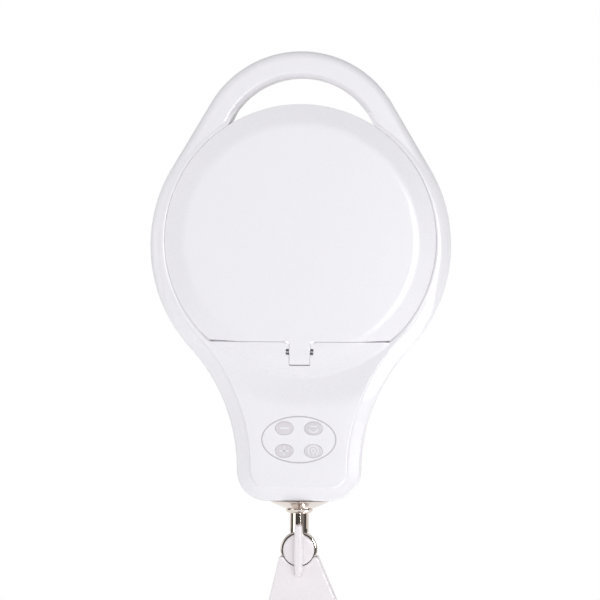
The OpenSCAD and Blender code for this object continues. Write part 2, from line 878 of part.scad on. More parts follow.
module stem() color(chrome) in_head() difference() {
  union() {
    shaft(stem_r, eye_y + stem_neck, clip_low);
    shaft(clip_in, clip_low - over, clip_low + clip_t + over);
    shaft(stem_r, clip_low + clip_t + key_gap, stem_top);
    translate([0, eye_y, stem_z]) cylinder(r = eye_r, h = eye_t, center = true);
    translate([shank_in - stem_r, eye_y, stem_z - eye_t / 2 + shank_side])
      cube([2 * (stem_r - shank_in), stem_neck + over, eye_t - 2 * shank_side]);
  }
  translate([0, eye_y, stem_z]) cylinder(r = bolt_r + run_gap, h = 2 * eye_t, center = true);
}

module stem_clip() color(steel) in_head() difference() {
  shaft(clip_r, clip_low + weld, clip_low + clip_t);
  shaft(clip_in + run_gap, clip_low - over, clip_low + clip_t + over);
  translate([-clip_mouth / 2, clip_low - over, stem_z]) cube([clip_mouth, clip_t + 2 * over, 2 * clip_r]);
}

module bell() color(chrome) in_head()
  translate([0, bell_top, stem_z]) rotate([90, 0, 0]) rotate_extrude($fn = fine) difference() {
    polygon([
      [stem_r + run_gap, 0], [bell_r, 0], [bell_r, bell_rim], [groove_r + waist_step, bell_h * waist_at],
      [groove_r, bell_h * groove_at[0]], [groove_r, bell_h * groove_at[1]], [bead_r, bell_h * bead_at[0]],
      [bead_r, bell_h * bead_at[1]], [stem_r + over, bell_h], [stem_r + run_gap, bell_h]
    ]);
    translate([bell_r - bell_lip, bell_h * sweep_at]) circle(r = bell_h * waist_at);
  }

// outline of the head bracket round the tilt axis
module bracket_form() {
  hull() {
    for (s = [-1, 1]) {
      translate([s * (shoulder_x - shoulder_r), shoulder_z - shoulder_r]) circle(r = shoulder_r, $fn = coarse);
      translate([bracket_set + s * half_pitch, -bracket_drop]) circle(r = lobe_r);
    }
  }
}

// places a flat form in the arm's plane, from y0 to y1
module upright(x, z, y0, y1) {
  translate([x, y1, z]) rotate([90, 0, 0]) linear_extrude(height = y1 - y0) children();
}

module pair_cut(x, z, r) {
  for (s = [-1, 1])
    rod_y(x + s * half_pitch, z, r, -through, through);
}

// screw holes from the rear, closed at the front
module bracket_screw_cut(r) {
  for (s = [-1, 1])
    rod_y(tilt_x + bracket_set / 2 + s * bracket_screw_x, tilt_z + bracket_screw_z, r,
      bracket_screw_end - plate_out, through);
}

module bracket_front() color(white) difference() {
  upright(tilt_x, tilt_z, -plate_out, -slot_half) bracket_form();
  rod_y(tilt_x, tilt_z, knob_r + cover_gap, -through, through);
  pair_cut(bracket_x, bracket_z, pivot_r + run_gap);
  bracket_screw_cut(bracket_screw_r + run_gap);
}

module bracket_rear() color(white) difference() {
  union() {
    difference() {
      union() {
        upright(tilt_x, tilt_z, slot_half, plate_out) bracket_form();
        intersection() {
          upright(tilt_x, tilt_z, -slot_half, slot_half) bracket_form();
          translate([tilt_x - through, -through, tilt_z + web_low]) cube([2 * through, 2 * through, through]);
        }
      }
      rod_y(tilt_x, tilt_z, seat_r, -through, slot_half);
    }
    rod_y(tilt_x, tilt_z, cheek_r, slot_half, plate_out);
  }
  rod_y(tilt_x, tilt_z, bolt_r + run_gap, 0, through);
  pair_cut(bracket_x, bracket_z, pivot_r + run_gap);
  bracket_screw_cut(bracket_screw_r + run_gap);
}

module bracket_screws() color(steel) for (s = [-1, 1])
  translate([tilt_x + bracket_set / 2 + s * bracket_screw_x, 0, tilt_z + bracket_screw_z]) {
    rod_y(0, 0, bracket_screw_r, bracket_screw_end + side_gap - plate_out, plate_out + over / 2);
    rod_y(0, 0, bracket_screw_r + bracket_screw_step, plate_out, plate_out + bracket_screw_h);
  }

module pivot_pair(x, z) {
  for (s = [-1, 1]) {
    rod_y(x + s * half_pitch, z, pivot_r, -plate_out - over / 2, plate_out + over / 2);
    rod_y(x + s * half_pitch, z, pin_head_r, plate_out, plate_out + pin_head_h);
    rod_y(x + s * half_pitch, z, pin_head_r, -plate_out - pin_head_h, -plate_out);
  }
}

module bracket_pins() color(chrome) pivot_pair(bracket_x, bracket_z);

module tilt_washers() color(black) for (s = [-1, 1])
  translate([0, s * (eye_t / 2 + slot_half) / 2, 0]) difference() {
    rod_y(tilt_x, tilt_z, washer_r, run_gap / 2 - (slot_half - eye_t / 2) / 2,
      (slot_half - eye_t / 2) / 2 - run_gap / 2);
    rod_y(tilt_x, tilt_z, bolt_r + run_gap, -through, through);
  }

module tilt_nut() color(steel) difference() {
  translate([tilt_x, plate_out + nut_t, tilt_z]) rotate([90, 0, 0]) cylinder(r = nut_r, h = nut_t, $fn = 6);
  rod_y(tilt_x, tilt_z, bolt_r + run_gap, 0, through);
}

module tilt_knob() color(white) difference() {
  union() {
    rod_y(tilt_x, tilt_z, knob_r, -knob_back - knob_t, -knob_back);
    translate([tilt_x - knob_w / 2, -knob_back - knob_t - knob_h, tilt_z - knob_l / 2 + knob_w / 2])
      cube([knob_w, knob_h + knob_sink, knob_l - knob_w]);
    for (s = [-1, 1])
      rod_y(tilt_x, tilt_z + s * (knob_l - knob_w) / 2, knob_w / 2, -knob_back - knob_t - knob_h,
        knob_sink - knob_back - knob_t);
  }
  rod_y(tilt_x, tilt_z, bolt_r, bolt_cover - knob_back - knob_t, 0);
}

module tilt_bolt() color(steel)
  rod_y(tilt_x, tilt_z, bolt_r, bolt_cover - knob_back - knob_t, plate_out + nut_t + bolt_out);

// square tube with round ends, from pivot to pivot along its own Z axis
module bar(x, z, lean, l, studded) {
  inner = bar_w - 2 * bar_wall;
  translate([x, 0, z]) rotate([0, lean, 0]) difference() {
    union() {
      translate([-bar_w / 2, -bar_w / 2, 0]) cube([bar_w, bar_w, l]);
      rod_y(0, 0, bar_w / 2, -bar_w / 2, bar_w / 2);
      rod_y(0, l, bar_w / 2, -bar_w / 2, bar_w / 2);
    }
    translate([-inner / 2, -inner / 2, -bar_w]) cube([inner, inner, l + 2 * bar_w]);
    rod_y(0, 0, bar_bore, -bar_w, bar_w);
    rod_y(0, l, bar_bore, -bar_w, bar_w);
    if (studded)
      rod_y(0, spring_at, stud_r + run_gap, -bar_w, bar_w);
  }
}

module spring_pin(x, z, lean) {
  translate([x, 0, z]) rotate([0, lean, 0]) rod_y(0, spring_at, stud_r, -stud_l, stud_l);
}

// spring path as [angle, radius, height] with straight ends on the axis
function spring_path(l) = let (t = (l - curls * curl_rise) / 2, n = curls * ring_turn) concat(
  [[0, 0, 0], [0, 0, t / 2], [0, 0, t]],
  [for (i = [1:n - 1]) let (k = min(i, n - i, ramp) / ramp)
    [360 * i / ring_turn, curl_r * k, t + curl_rise * i / ring_turn]],
  [[0, 0, l - t], [0, 0, l - t / 2], [0, 0, l]]
);

function round_to_xyz(p) = [p[1] * cos(p[0]), p[1] * sin(p[0]), p[2]];

module spring_coil(l) {
  path = spring_path(l);
  n = len(path);
  pts = [for (p = path) round_to_xyz(p)];
  rings = [for (i = [0:n - 1])
    let (d = pts[min(i + 1, n - 1)] - pts[max(i - 1, 0)], t = d / norm(d))
    let (q = [cos(path[i][0]), sin(path[i][0]), 0], m = q - (q * t) * t, u = m / norm(m), v = cross(t, u))
    [for (k = [0:wire_sides - 1]) let (a = 360 * k / wire_sides)
      pts[i] + wire_r * (cos(a) * u + sin(a) * v)]];
  s = wire_sides;
  skin = [for (i = [0:n - 2]) for (k = [0:s - 1]) let (j = (k + 1) % s)
    each [[i * s + k, (i + 1) * s + j, i * s + j], [i * s + k, (i + 1) * s + k, (i + 1) * s + j]]];
  low = [for (k = [1:s - 2]) [0, k, k + 1]];
  top = [for (k = [1:s - 2]) [(n - 1) * s, (n - 1) * s + k + 1, (n - 1) * s + k]];
  polyhedron(points = [for (r = rings) for (p = r) p], faces = concat(skin, low, top), convexity = 10);
  far = [for (i = [0:n - 1]) for (j = [i + ring_turn - 2:1:n - 1]) norm(pts[i] - pts[j]) - 2 * wire_r];
  echo(spring_least_gap = min(far));
}

// spring between a stud under the pivots and the pin on the main bar
module spring(x, z, side, lean, y) {
  a = [x, z - stud_drop];
  b = [x + side * half_pitch + spring_at * sin(lean), z + spring_at * cos(lean)];
  d = b - a;
  clear = stud_r + side_gap;
  translate([a[0], y, a[1]]) rotate([0, atan2(d[0], d[1]), 0]) translate([0, 0, clear])
    spring_coil(norm(d) - 2 * clear);
}

module upper_main_bar() color(white) bar(elbow_x + half_pitch, crook_z, upper_lean, upper_l, true);
module upper_link_bar() color(white) bar(elbow_x - half_pitch, crook_z, upper_lean, upper_l, false);
module upper_spring_pin() color(chrome) spring_pin(elbow_x + half_pitch, crook_z, upper_lean);
module upper_spring_front() color(chrome) spring(elbow_x, crook_z, 1, upper_lean, -stud_y);
module upper_spring_rear() color(chrome) spring(elbow_x, crook_z, 1, upper_lean, stud_y);

module lower_main_bar() color(white) bar(-half_pitch, base_z, -lower_lean, lower_l, true);
module lower_link_bar() color(white) bar(half_pitch, base_z, -lower_lean, lower_l, false);
module lower_spring_pin() color(chrome) spring_pin(-half_pitch, base_z, -lower_lean);
module lower_spring_front() color(chrome) spring(0, base_z, -1, -lower_lean, -stud_y);
module lower_spring_rear() color(chrome) spring(0, base_z, -1, -lower_lean, stud_y);

// rectangle with round corners, from x0,z0 to x1,z1
module round_rect(x0, z0, x1, z1, r) {
  translate([x0 + r, z0]) square([x1 - x0 - 2 * r, z1 - z0]);
  translate([x0, z0 + r]) square([x1 - x0, z1 - z0 - 2 * r]);
  for (x = [x0 + r, x1 - r]) for (z = [z0 + r, z1 - r])
    translate([x, z]) circle(r = r);
}

module elbow_form() {
  round_rect(-half_pitch - lobe_r, -lobe_r, half_pitch + lobe_r, elbow_h + lobe_r, lobe_r);
}

module elbow_cut() {
  pair_cut(elbow_x, elbow_z, pivot_r + run_gap);
  pair_cut(elbow_x, crook_z, pivot_r + run_gap);
  rod_y(elbow_x, crook_z - stud_drop, stud_r + run_gap, -through, through);
}

module elbow_front() color(white) difference() {
  upright(elbow_x, elbow_z, -plate_out, -slot_half) elbow_form();
  elbow_cut();
}

module elbow_rear() color(white) difference() {
  upright(elbow_x, elbow_z, slot_half, plate_out) elbow_form();
  elbow_cut();
}

module elbow_spacer() color(white)
  translate([elbow_x - half_pitch, -slot_half, elbow_z + lobe_r + spacer_room])
    cube([bar_pitch, 2 * slot_half, elbow_h - stud_drop - stud_r - lobe_r - 3 * spacer_room]);

module elbow_pins() color(chrome) {
  pivot_pair(elbow_x, elbow_z);
  pivot_pair(elbow_x, crook_z);
  rod_y(elbow_x, crook_z - stud_drop, stud_r, -stud_l, stud_l);
}

module base_form() {
  round_rect(-half_pitch - lobe_r, -base_form_low, half_pitch + lobe_r, lobe_r, lobe_r);
}

module base_cut() {
  pair_cut(0, base_z, pivot_r + run_gap);
  rod_y(0, base_z - stud_drop, stud_r + run_gap, -through, through);
  for (s = [-1, 1])
    rod_y(s * base_bolt_x, base_z - tongue_gap - tongue_h / 2, base_bolt_r + run_gap, -through, through);
}

module base_front() color(white) difference() {
  upright(0, base_z, -plate_out, -slot_half) base_form();
  base_cut();
}

module base_rear() color(white) difference() {
  upright(0, base_z, slot_half, plate_out) base_form();
  base_cut();
}

module base_post() color(chrome) difference() {
  union() {
    translate([-tongue_half, -slot_half, boss_top + washer_t + flange_t - over])
      cube([2 * tongue_half, 2 * slot_half, tongue_h + over]);
    translate([0, 0, boss_top + washer_t]) cylinder(r = flange_r, h = flange_t);
    translate([0, 0, boss_top - post_l]) cylinder(r = post_r, h = post_l + washer_t + over);
  }
  base_cut();
}

module base_pins() color(chrome) {
  pivot_pair(0, base_z);
  rod_y(0, base_z - stud_drop, stud_r, -stud_l, stud_l);
  for (s = [-1, 1]) {
    rod_y(s * base_bolt_x, base_z - tongue_gap - tongue_h / 2, base_bolt_r, -plate_out - over / 2, plate_out);
    rod_y(s * base_bolt_x, base_z - tongue_gap - tongue_h / 2, base_bolt_r + base_bolt_step,
      -plate_out - base_bolt_h, -plate_out);
  }
}

module base_washer() color(black) translate([0, 0, boss_top + run_gap]) difference() {
  cylinder(r = post_boss_r, h = washer_t - 2 * run_gap);
  translate([0, 0, -over]) cylinder(r = post_r + run_gap, h = washer_t + 2 * over);
}

module clamp_form() {
  difference() {
    round_rect(-throat_d - back_t, jaw_low - jaw_t, jaw_reach, pad_t + jaw_t, corner_out);
    round_rect(-throat_d, jaw_low, 2 * jaw_reach, pad_t, corner_in);
    translate([jaw_reach - jaw_set, jaw_low - jaw_t - over]) square([2 * jaw_reach, jaw_t + 3 * over]);
  }
}

module clamp_frame() color(white) difference() {
  union() {
    upright(0, 0, -clamp_w / 2, clamp_w / 2) clamp_form();
    translate([0, 0, pad_t + jaw_t - over]) cylinder(r = post_boss_r, h = post_boss_h + over);
    translate([0, 0, jaw_low - jaw_t - nut_boss_h]) cylinder(r = nut_boss_r, h = nut_boss_h + over);
  }
  translate([0, 0, boss_top - post_l - over]) cylinder(r = post_r + run_gap, h = post_l + 2 * over);
  translate([0, 0, jaw_low - jaw_t - nut_boss_h - over])
    cylinder(r = screw_r + run_gap, h = jaw_t + nut_boss_h + 2 * over);
}

module jaw_pad() color(black) translate([-throat_d + corner_in + pad_in, -clamp_w / 2 + pad_in, 0])
  cube([throat_d - corner_in - 2 * pad_in + jaw_reach, clamp_w - 2 * pad_in, pad_t]);

module clamp_foot() color(steel) difference() {
  union() {
    translate([0, 0, foot_low]) cylinder(r = foot_r, h = foot_t);
    translate([0, 0, foot_low - socket_h]) cylinder(r = socket_r, h = socket_h + over);
  }
  translate([0, 0, foot_low - socket_h - over]) cylinder(r = nose_r + run_gap, h = nose_l + over + side_gap);
}

module foot_pad() color(black) translate([0, 0, foot_top - pad_t]) cylinder(r = foot_r, h = pad_t);

module clamp_screw() color(steel) difference() {
  union() {
    translate([0, 0, screw_top - screw_l]) cylinder(r = screw_r, h = screw_l);
    translate([0, 0, screw_top - over]) cylinder(r = nose_r, h = nose_l + over + side_gap / 2);
    translate([0, 0, screw_top - screw_l]) cylinder(r = head_r, h = head_h);
  }
  translate([0, 0, screw_top - screw_l + head_h / 2]) rotate([0, 90, 0])
    cylinder(r = tommy_r + run_gap, h = 4 * head_r, center = true);
}

module tommy_bar() color(steel) translate([0, 0, screw_top - screw_l + head_h / 2]) rotate([0, 90, 0])
  cylinder(r = tommy_r, h = tommy_l, center = true);

module tommy_caps() color(black) translate([0, 0, screw_top - screw_l + head_h / 2]) for (s = [-1, 1])
  rotate([0, s * 90, 0]) translate([0, 0, tommy_l / 2 - cap_sink]) difference() {
    cylinder(r = cap_r, h = cap_l);
    translate([0, 0, -over]) cylinder(r = tommy_r + weld, h = cap_sink + weld + over);
  }

front_shell();
rear_shell();
lens();
lens_retainer();
led_board();
leds();
diffuser();
touch_panel();
touch_keys();
touch_board();
touch_springs();
power_inlet();
shell_screws();
swivel_bush();
lens_cover();
cover_pin();
stem();
bell();
stem_clip();
bracket_front();
bracket_rear();
bracket_screws();
bracket_pins();
tilt_washers();
tilt_nut();
tilt_knob();
tilt_bolt();
upper_main_bar();
upper_link_bar();
upper_spring_pin();
upper_spring_front();
upper_spring_rear();
elbow_front();
elbow_rear();
elbow_spacer();
elbow_pins();
lower_main_bar();
lower_link_bar();
lower_spring_pin();
lower_spring_front();
lower_spring_rear();
base_front();
base_rear();
base_post();
base_pins();
base_washer();
clamp_frame();
jaw_pad();
clamp_foot();
foot_pad();
clamp_screw();
tommy_bar();
tommy_caps();
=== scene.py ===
import json
import math

import bmesh
import bpy
from mathutils import Matrix, Quaternion, Vector


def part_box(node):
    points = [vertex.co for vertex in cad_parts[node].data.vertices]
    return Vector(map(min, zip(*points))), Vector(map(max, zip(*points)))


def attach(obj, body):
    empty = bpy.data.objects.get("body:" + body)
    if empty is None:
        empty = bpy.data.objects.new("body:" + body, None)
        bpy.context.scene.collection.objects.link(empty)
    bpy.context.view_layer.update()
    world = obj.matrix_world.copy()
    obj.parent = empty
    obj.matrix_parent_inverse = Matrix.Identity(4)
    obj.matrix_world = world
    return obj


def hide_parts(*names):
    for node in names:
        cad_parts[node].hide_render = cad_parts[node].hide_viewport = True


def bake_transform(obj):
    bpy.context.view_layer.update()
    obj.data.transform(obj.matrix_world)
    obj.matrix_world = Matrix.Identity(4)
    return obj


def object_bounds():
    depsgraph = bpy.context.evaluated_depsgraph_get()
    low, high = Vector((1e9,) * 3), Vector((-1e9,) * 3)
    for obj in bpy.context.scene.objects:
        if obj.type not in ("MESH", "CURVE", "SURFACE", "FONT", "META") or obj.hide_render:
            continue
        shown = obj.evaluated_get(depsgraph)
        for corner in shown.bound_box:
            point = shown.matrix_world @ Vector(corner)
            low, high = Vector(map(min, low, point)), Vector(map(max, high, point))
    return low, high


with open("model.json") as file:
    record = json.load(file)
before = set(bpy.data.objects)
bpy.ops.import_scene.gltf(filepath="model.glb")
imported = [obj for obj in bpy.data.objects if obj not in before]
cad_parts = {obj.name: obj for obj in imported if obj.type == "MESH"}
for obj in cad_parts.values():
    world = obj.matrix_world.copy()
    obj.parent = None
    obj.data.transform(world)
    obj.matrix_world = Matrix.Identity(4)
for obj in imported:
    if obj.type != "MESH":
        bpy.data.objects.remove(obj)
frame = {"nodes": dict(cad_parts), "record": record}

cad_low, cad_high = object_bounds()
MM = 0.001

# Head sizes in millimetres from the lens centre: x right, y up, z towards the viewer
WALL = 2.4
RIM_R = 88.0
RIM_DROP = 3.0
NECK_HALF = 36.25
NECK_LEN = 152.5
NECK_CORNER = 18.0
FRONT_DEPTH = 16.0
REAR_DEPTH = 20.0
FRONT_BAND = 7.6
BAND_TILT = 12.0
FRONT_ROUND = 1.6
RIM_TOP = 12.9
RIM_RISE = 40.0
RIM_BOW = 11.0
RIM_FLAT = 3.0
RIM_STEEP = 45.0
RISER = 12.0
REAR_BAND = 6.0
BAND_START = 3.0
FACE_STEP = 0.9
EDGE_R = 78.4
EDGE_IN = 76.0
RECESS_FLOOR = 9.2
BEZEL_LOW = 7.0
LENS_R = 63.5
LENS_EDGE = 3.0
LENS_BULGE = 5.8
LENS_OPEN = 60.5
COLLAR_IN = 63.7
COLLAR_R = 66.2
COLLAR_LOW = -3.0
ARCH_R = 61.5
ARCH_BAR = 15.6
ARCH_HALF = 12.0
ARCH_ROUND = 4.5
ARCH_SLOPE = 2.6
ARCH_Y = 49.1
COVER_R = 79.5
COVER_LOW = 9.6
COVER_WALL = 2.0
COVER_FLAT = 65.5
COVER_BEND = 18.1
COVER_SLOPE = 16.0
COVER_EDGE = 0.6
CHORD_Y = -59.5
LINE_GAP = 0.08
LIP = 0.75
FACET_W = 1.0
FACET_DROP = 0.2
HINGE_Y = -65.3
HINGE_Z = 12.0
HINGE_WELL = 8.8
SWING_R = 6.79
CORNER_X = 52.9
CORNER_L = 6.0
CORNER_GROW = 5.4
TAB_HALF = 6.1
TAB_END = -72.9
TAB_FILLET = 1.2
DIP_START = 77.6
DIP_TURN = 81.6
DIP_EASE = 93.5
DIP_END = 101.5
DIP_LOW = 10.0
DIP_FULL = 13.0
STEM_Z = -2.0
STEM_R = 5.5
EYE_Y = -181.4
EYE_R = 10.75
EYE_HALF = 4.0
BELL_TOP = -152.8
BELL_R = 17.6
PANEL_Y = -116.5
PANEL_W = 43.0
PANEL_H = 26.8
KEY_DX = 17.0
KEY_DY = 13.2
INLET_Y = -112.5
INLET_R = 5.2
LIGHT_WAY_R = 72.8
SCREW_SEAT = -14.6
SCREW_WAY_R = 3.0
BOSS_R = 4.2
KNUCKLE_R = 3.5
NOTCH_W = 1.9
NOTCH_HALF = 1.7
BARREL_REACH = 51.0
PANEL_FLOOR = 15.2
PRINT_LOW = 15.7
PRINT_TOP = 16.04
PRINT_W = 0.75
THIN_PRINT_W = 0.6
STEM_TOP = -130.2
EYE_BORE = 3.05

# Arm and clamp sizes in millimetres from the table top under the clamp's jaw
BAR_L = 260.0
LEAN = math.radians(50)
HALF_PITCH = 13.0
ELBOW_H = 44.0
BASE_Z = 81.5
PLATE_OUT = 11.0
PIVOT_R = 3.0
STUD_DROP = 12.0
STUD_Y = 18.6
STUD_L = 22.3
STUD_R = 2.0
SPRING_AT = 112.0
WIRE_R = 0.9
COIL_R = 3.7
COIL_L = 58.8
COIL_TURNS = 28
HOOK_R = 2.9
KNOB_FACE = 11.4
KNOB_SEAT = 5.3
KNOB_R = 9.1
THREAD_PITCH = 2.0
THREAD_R = 5.0
THREAD_ROOT = 4.25
SCREW_HEAD_L = 16.0
CAP_R = 5.0

lens_low, lens_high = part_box("lens")
HEAD = (lens_low + lens_high) / 2
IN_HEAD = Matrix.Translation(HEAD) @ Matrix.Rotation(math.pi / 2, 4, "X") @ Matrix.Scale(MM, 4)
IN_WORLD = Matrix.Scale(MM, 4)
DOWN_STEM = Matrix.Rotation(math.pi / 2, 4, "X")


# Mesh helpers

def new_object(name, mesh):
    obj = bpy.data.objects.new(name, mesh)
    bpy.context.scene.collection.objects.link(obj)
    return obj


def from_faces(name, points, faces, place=IN_HEAD):
    """Mesh from points in millimetres, with its faces turned outward."""
    mesh = bmesh.new()
    verts = [mesh.verts.new(place @ Vector(p)) for p in points]
    for face in faces:
        mesh.faces.new([verts[i] for i in face])
    bmesh.ops.remove_doubles(mesh, verts=mesh.verts, dist=1e-7)
    bmesh.ops.recalc_face_normals(mesh, faces=mesh.faces)
    data = bpy.data.meshes.new(name)
    mesh.to_mesh(data)
    mesh.free()
    return new_object(name, data)


def join(name, pieces):
    mesh = bmesh.new()
    for piece in pieces:
        mesh.from_mesh(piece.data)
        bpy.data.objects.remove(piece)
    data = bpy.data.meshes.new(name)
    mesh.to_mesh(data)
    mesh.free()
    return new_object(name, data)


def bake(obj):
    """Applies every modifier of an object to its mesh."""
    graph = bpy.context.evaluated_depsgraph_get()
    mesh = bpy.data.meshes.new_from_object(obj.evaluated_get(graph))
    obj.modifiers.clear()
    obj.data = mesh


def combine(obj, other, operation):
    modifier = obj.modifiers.new("combine", "BOOLEAN")
    modifier.operation = operation
    modifier.object = other
    modifier.solver = "MANIFOLD"
    bake(obj)
    bpy.data.objects.remove(other)


def cut(obj, *others):
    for other in others:
        combine(obj, other, "DIFFERENCE")


def add(obj, *others):
    for other in others:
        combine(obj, other, "UNION")


def smooth_shade(obj, angle=40):
    obj.data.shade_smooth()
    obj.data.set_sharp_from_angle(angle=math.radians(angle))


def soften(obj, voxel, passes, keep, shape=None):
    """Rounds every edge as a moulding has it.

    A fine remesh, any reshaping, a little smoothing, then fewer faces.
    """
    remesh = obj.modifiers.new("remesh", "REMESH")
    remesh.mode = "VOXEL"
    remesh.voxel_size = voxel * MM
    if shape:
        bake(obj)
        shape(obj)
    smooth = obj.modifiers.new("smooth", "SMOOTH")
    smooth.factor = 0.5
    smooth.iterations = passes
    fewer = obj.modifiers.new("fewer", "DECIMATE")
    fewer.ratio = keep
    bake(obj)
    obj.data.shade_smooth()


def arc(cx, cy, r, a0, a1, steps, skip=0):
    angles = [math.radians(a0 + (a1 - a0) * i / steps) for i in range(skip, steps + 1)]
    return [(cx + r * math.cos(a), cy + r * math.sin(a)) for a in angles]


def oval(w, h, steps=128):
    turns = [2 * math.pi * i / steps for i in range(steps)]
    return [(w / 2 * math.cos(a), h / 2 * math.sin(a)) for a in turns]


def tube(name, rings, place=IN_HEAD, closed=False):
    """Skin over rings of equal length, with flat ends."""
    n = len(rings[0])
    points = [p for ring in rings for p in ring]
    spans = len(rings) if closed else len(rings) - 1
    faces = []
    for k in range(spans):
        for i in range(n):
            j, m = (i + 1) % n, (k + 1) % len(rings)
            faces.append([k * n + i, k * n + j, m * n + j, m * n + i])
    if not closed:
        faces += [list(range(n)), list(range(len(points) - n, len(points)))]
    return from_faces(name, points, faces, place)


def prism(name, outline, z0, z1, place=IN_HEAD):
    return tube(name, [[(x, y, z) for x, y in outline] for z in (z0, z1)], place)


def block(name, low, high, place=IN_HEAD):
    outline = [(low[0], low[1]), (high[0], low[1]), (high[0], high[1]), (low[0], high[1])]
    return prism(name, outline, low[2], high[2], place)


def disc(name, x, y, r, z0, z1, steps=64):
    return prism(name, arc(x, y, r, 0, 360, steps, 1), z0, z1)


def rod(name, start, end, r, steps=64, place=IN_HEAD):
    """Plain round cutter between two points."""
    a, b = Vector(start), Vector(end)
    turn = (b - a).to_track_quat("Z", "Y").to_matrix().to_4x4()
    circle = arc(0, 0, r, 0, 360, steps, 1)
    return prism(name, circle, 0, (b - a).length, place @ Matrix.Translation(a) @ turn)


def lathe(name, profile, steps=128, place=IN_HEAD):
    """Turns a closed [radius, height] profile about the z axis."""
    rings = []
    for i in range(steps):
        a = 2 * math.pi * i / steps
        rings.append([(r * math.cos(a), r * math.sin(a), z) for r, z in profile])
    return tube(name, rings, place, True)


def turned(name, profile, place, steps=64):
    """A turned piece, smooth along its curves and sharp at its edges."""
    obj = lathe(name, profile, steps, place)
    smooth_shade(obj)
    return obj


def along_y(x, z):
    """Place whose z axis runs along the world's -Y through x, z in millimetres."""
    return IN_WORLD @ Matrix.Translation((x, 0, z)) @ DOWN_STEM


# Materials

def shader(name):
    material = bpy.data.materials.new(name)
    material.use_nodes = True
    nodes = material.node_tree.nodes
    return material, nodes, material.node_tree.links, nodes["Principled BSDF"]


def noise(nodes, links, scale, detail=3.0):
    place = nodes.new("ShaderNodeTexCoord")
    grain = nodes.new("ShaderNodeTexNoise")
    grain.inputs["Scale"].default_value = scale
    grain.inputs["Detail"].default_value = detail
    links.new(place.outputs["Object"], grain.inputs["Vector"])
    return grain.outputs["Fac"]


def vary(nodes, links, fac, low, high):
    ramp = nodes.new("ShaderNodeMapRange")
    ramp.inputs["To Min"].default_value = low
    ramp.inputs["To Max"].default_value = high
    links.new(fac, ramp.inputs["Value"])
    return ramp.outputs["Result"]


def tint(nodes, links, fac, low, high):
    ramp = nodes.new("ShaderNodeValToRGB")
    ramp.color_ramp.elements[0].color = (*low, 1)
    ramp.color_ramp.elements[1].color = (*high, 1)
    ramp.color_ramp.elements[0].position = 0.3
    ramp.color_ramp.elements[1].position = 0.7
    links.new(fac, ramp.inputs["Fac"])
    return ramp.outputs["Color"]


def bump(nodes, links, fac, distance, strength):
    relief = nodes.new("ShaderNodeBump")
    relief.inputs["Distance"].default_value = distance
    relief.inputs["Strength"].default_value = strength
    links.new(fac, relief.inputs["Height"])
    return relief.outputs["Normal"]


def coated(name, low, high, rough, cloud, grain, depth, metallic=0.0):
    """Surface with cloudy colour, uneven gloss and a fine grain."""
    material, nodes, links, out = shader(name)
    broad = noise(nodes, links, cloud)
    fine = noise(nodes, links, grain, 2.0)
    links.new(tint(nodes, links, broad, low, high), out.inputs["Base Color"])
    links.new(vary(nodes, links, broad, *rough), out.inputs["Roughness"])
    links.new(bump(nodes, links, fine, depth, 0.35), out.inputs["Normal"])
    out.inputs["Metallic"].default_value = metallic
    return material


def brushed(name, low, high, rough, stretch):
    """Metal with drawn lines along one direction."""
    material, nodes, links, out = shader(name)
    place = nodes.new("ShaderNodeTexCoord")
    scale = nodes.new("ShaderNodeMapping")
    scale.inputs["Scale"].default_value = stretch
    lines = nodes.new("ShaderNodeTexNoise")
    lines.inputs["Scale"].default_value = 1.0
    lines.inputs["Detail"].default_value = 4.0
    links.new(place.outputs["Object"], scale.inputs["Vector"])
    links.new(scale.outputs["Vector"], lines.inputs["Vector"])
    fac = lines.outputs["Fac"]
    links.new(tint(nodes, links, fac, low, high), out.inputs["Base Color"])
    links.new(vary(nodes, links, fac, *rough), out.inputs["Roughness"])
    links.new(bump(nodes, links, fac, 0.00002, 0.3), out.inputs["Normal"])
    out.inputs["Metallic"].default_value = 1.0
    return material


def clear_glass(name):
    material, nodes, links, out = shader(name)
    smear = noise(nodes, links, 30.0)
    links.new(vary(nodes, links, smear, 0.0, 0.04), out.inputs["Roughness"])
    out.inputs["Base Color"].default_value = (0.96, 0.99, 0.985, 1)
    out.inputs["Transmission Weight"].default_value = 1.0
    out.inputs["IOR"].default_value = 1.5
    return material


def milky(name):
    material, nodes, links, out = shader(name)
    haze = noise(nodes, links, 60.0)
    links.new(tint(nodes, links, haze, (0.80, 0.80, 0.76), (0.86, 0.86, 0.83)), out.inputs["Base Color"])
    links.new(vary(nodes, links, haze, 0.4, 0.55), out.inputs["Roughness"])
    out.inputs["Subsurface Weight"].default_value = 0.4
    out.inputs["Subsurface Radius"].default_value = (1.0, 1.0, 0.9)
    out.inputs["Subsurface Scale"].default_value = 0.002
    return material


SHELL_LOW = (0.809, 0.798, 0.832)
SHELL_HIGH = (0.815, 0.804, 0.838)
# Pinkish copy of the white plastic. This is painted warm light from the lower right, not a different plastic.
PAINTED_WARM_LIGHT_LOW = (0.803, 0.765, 0.791)
PAINTED_WARM_LIGHT_HIGH = (0.809, 0.771, 0.797)

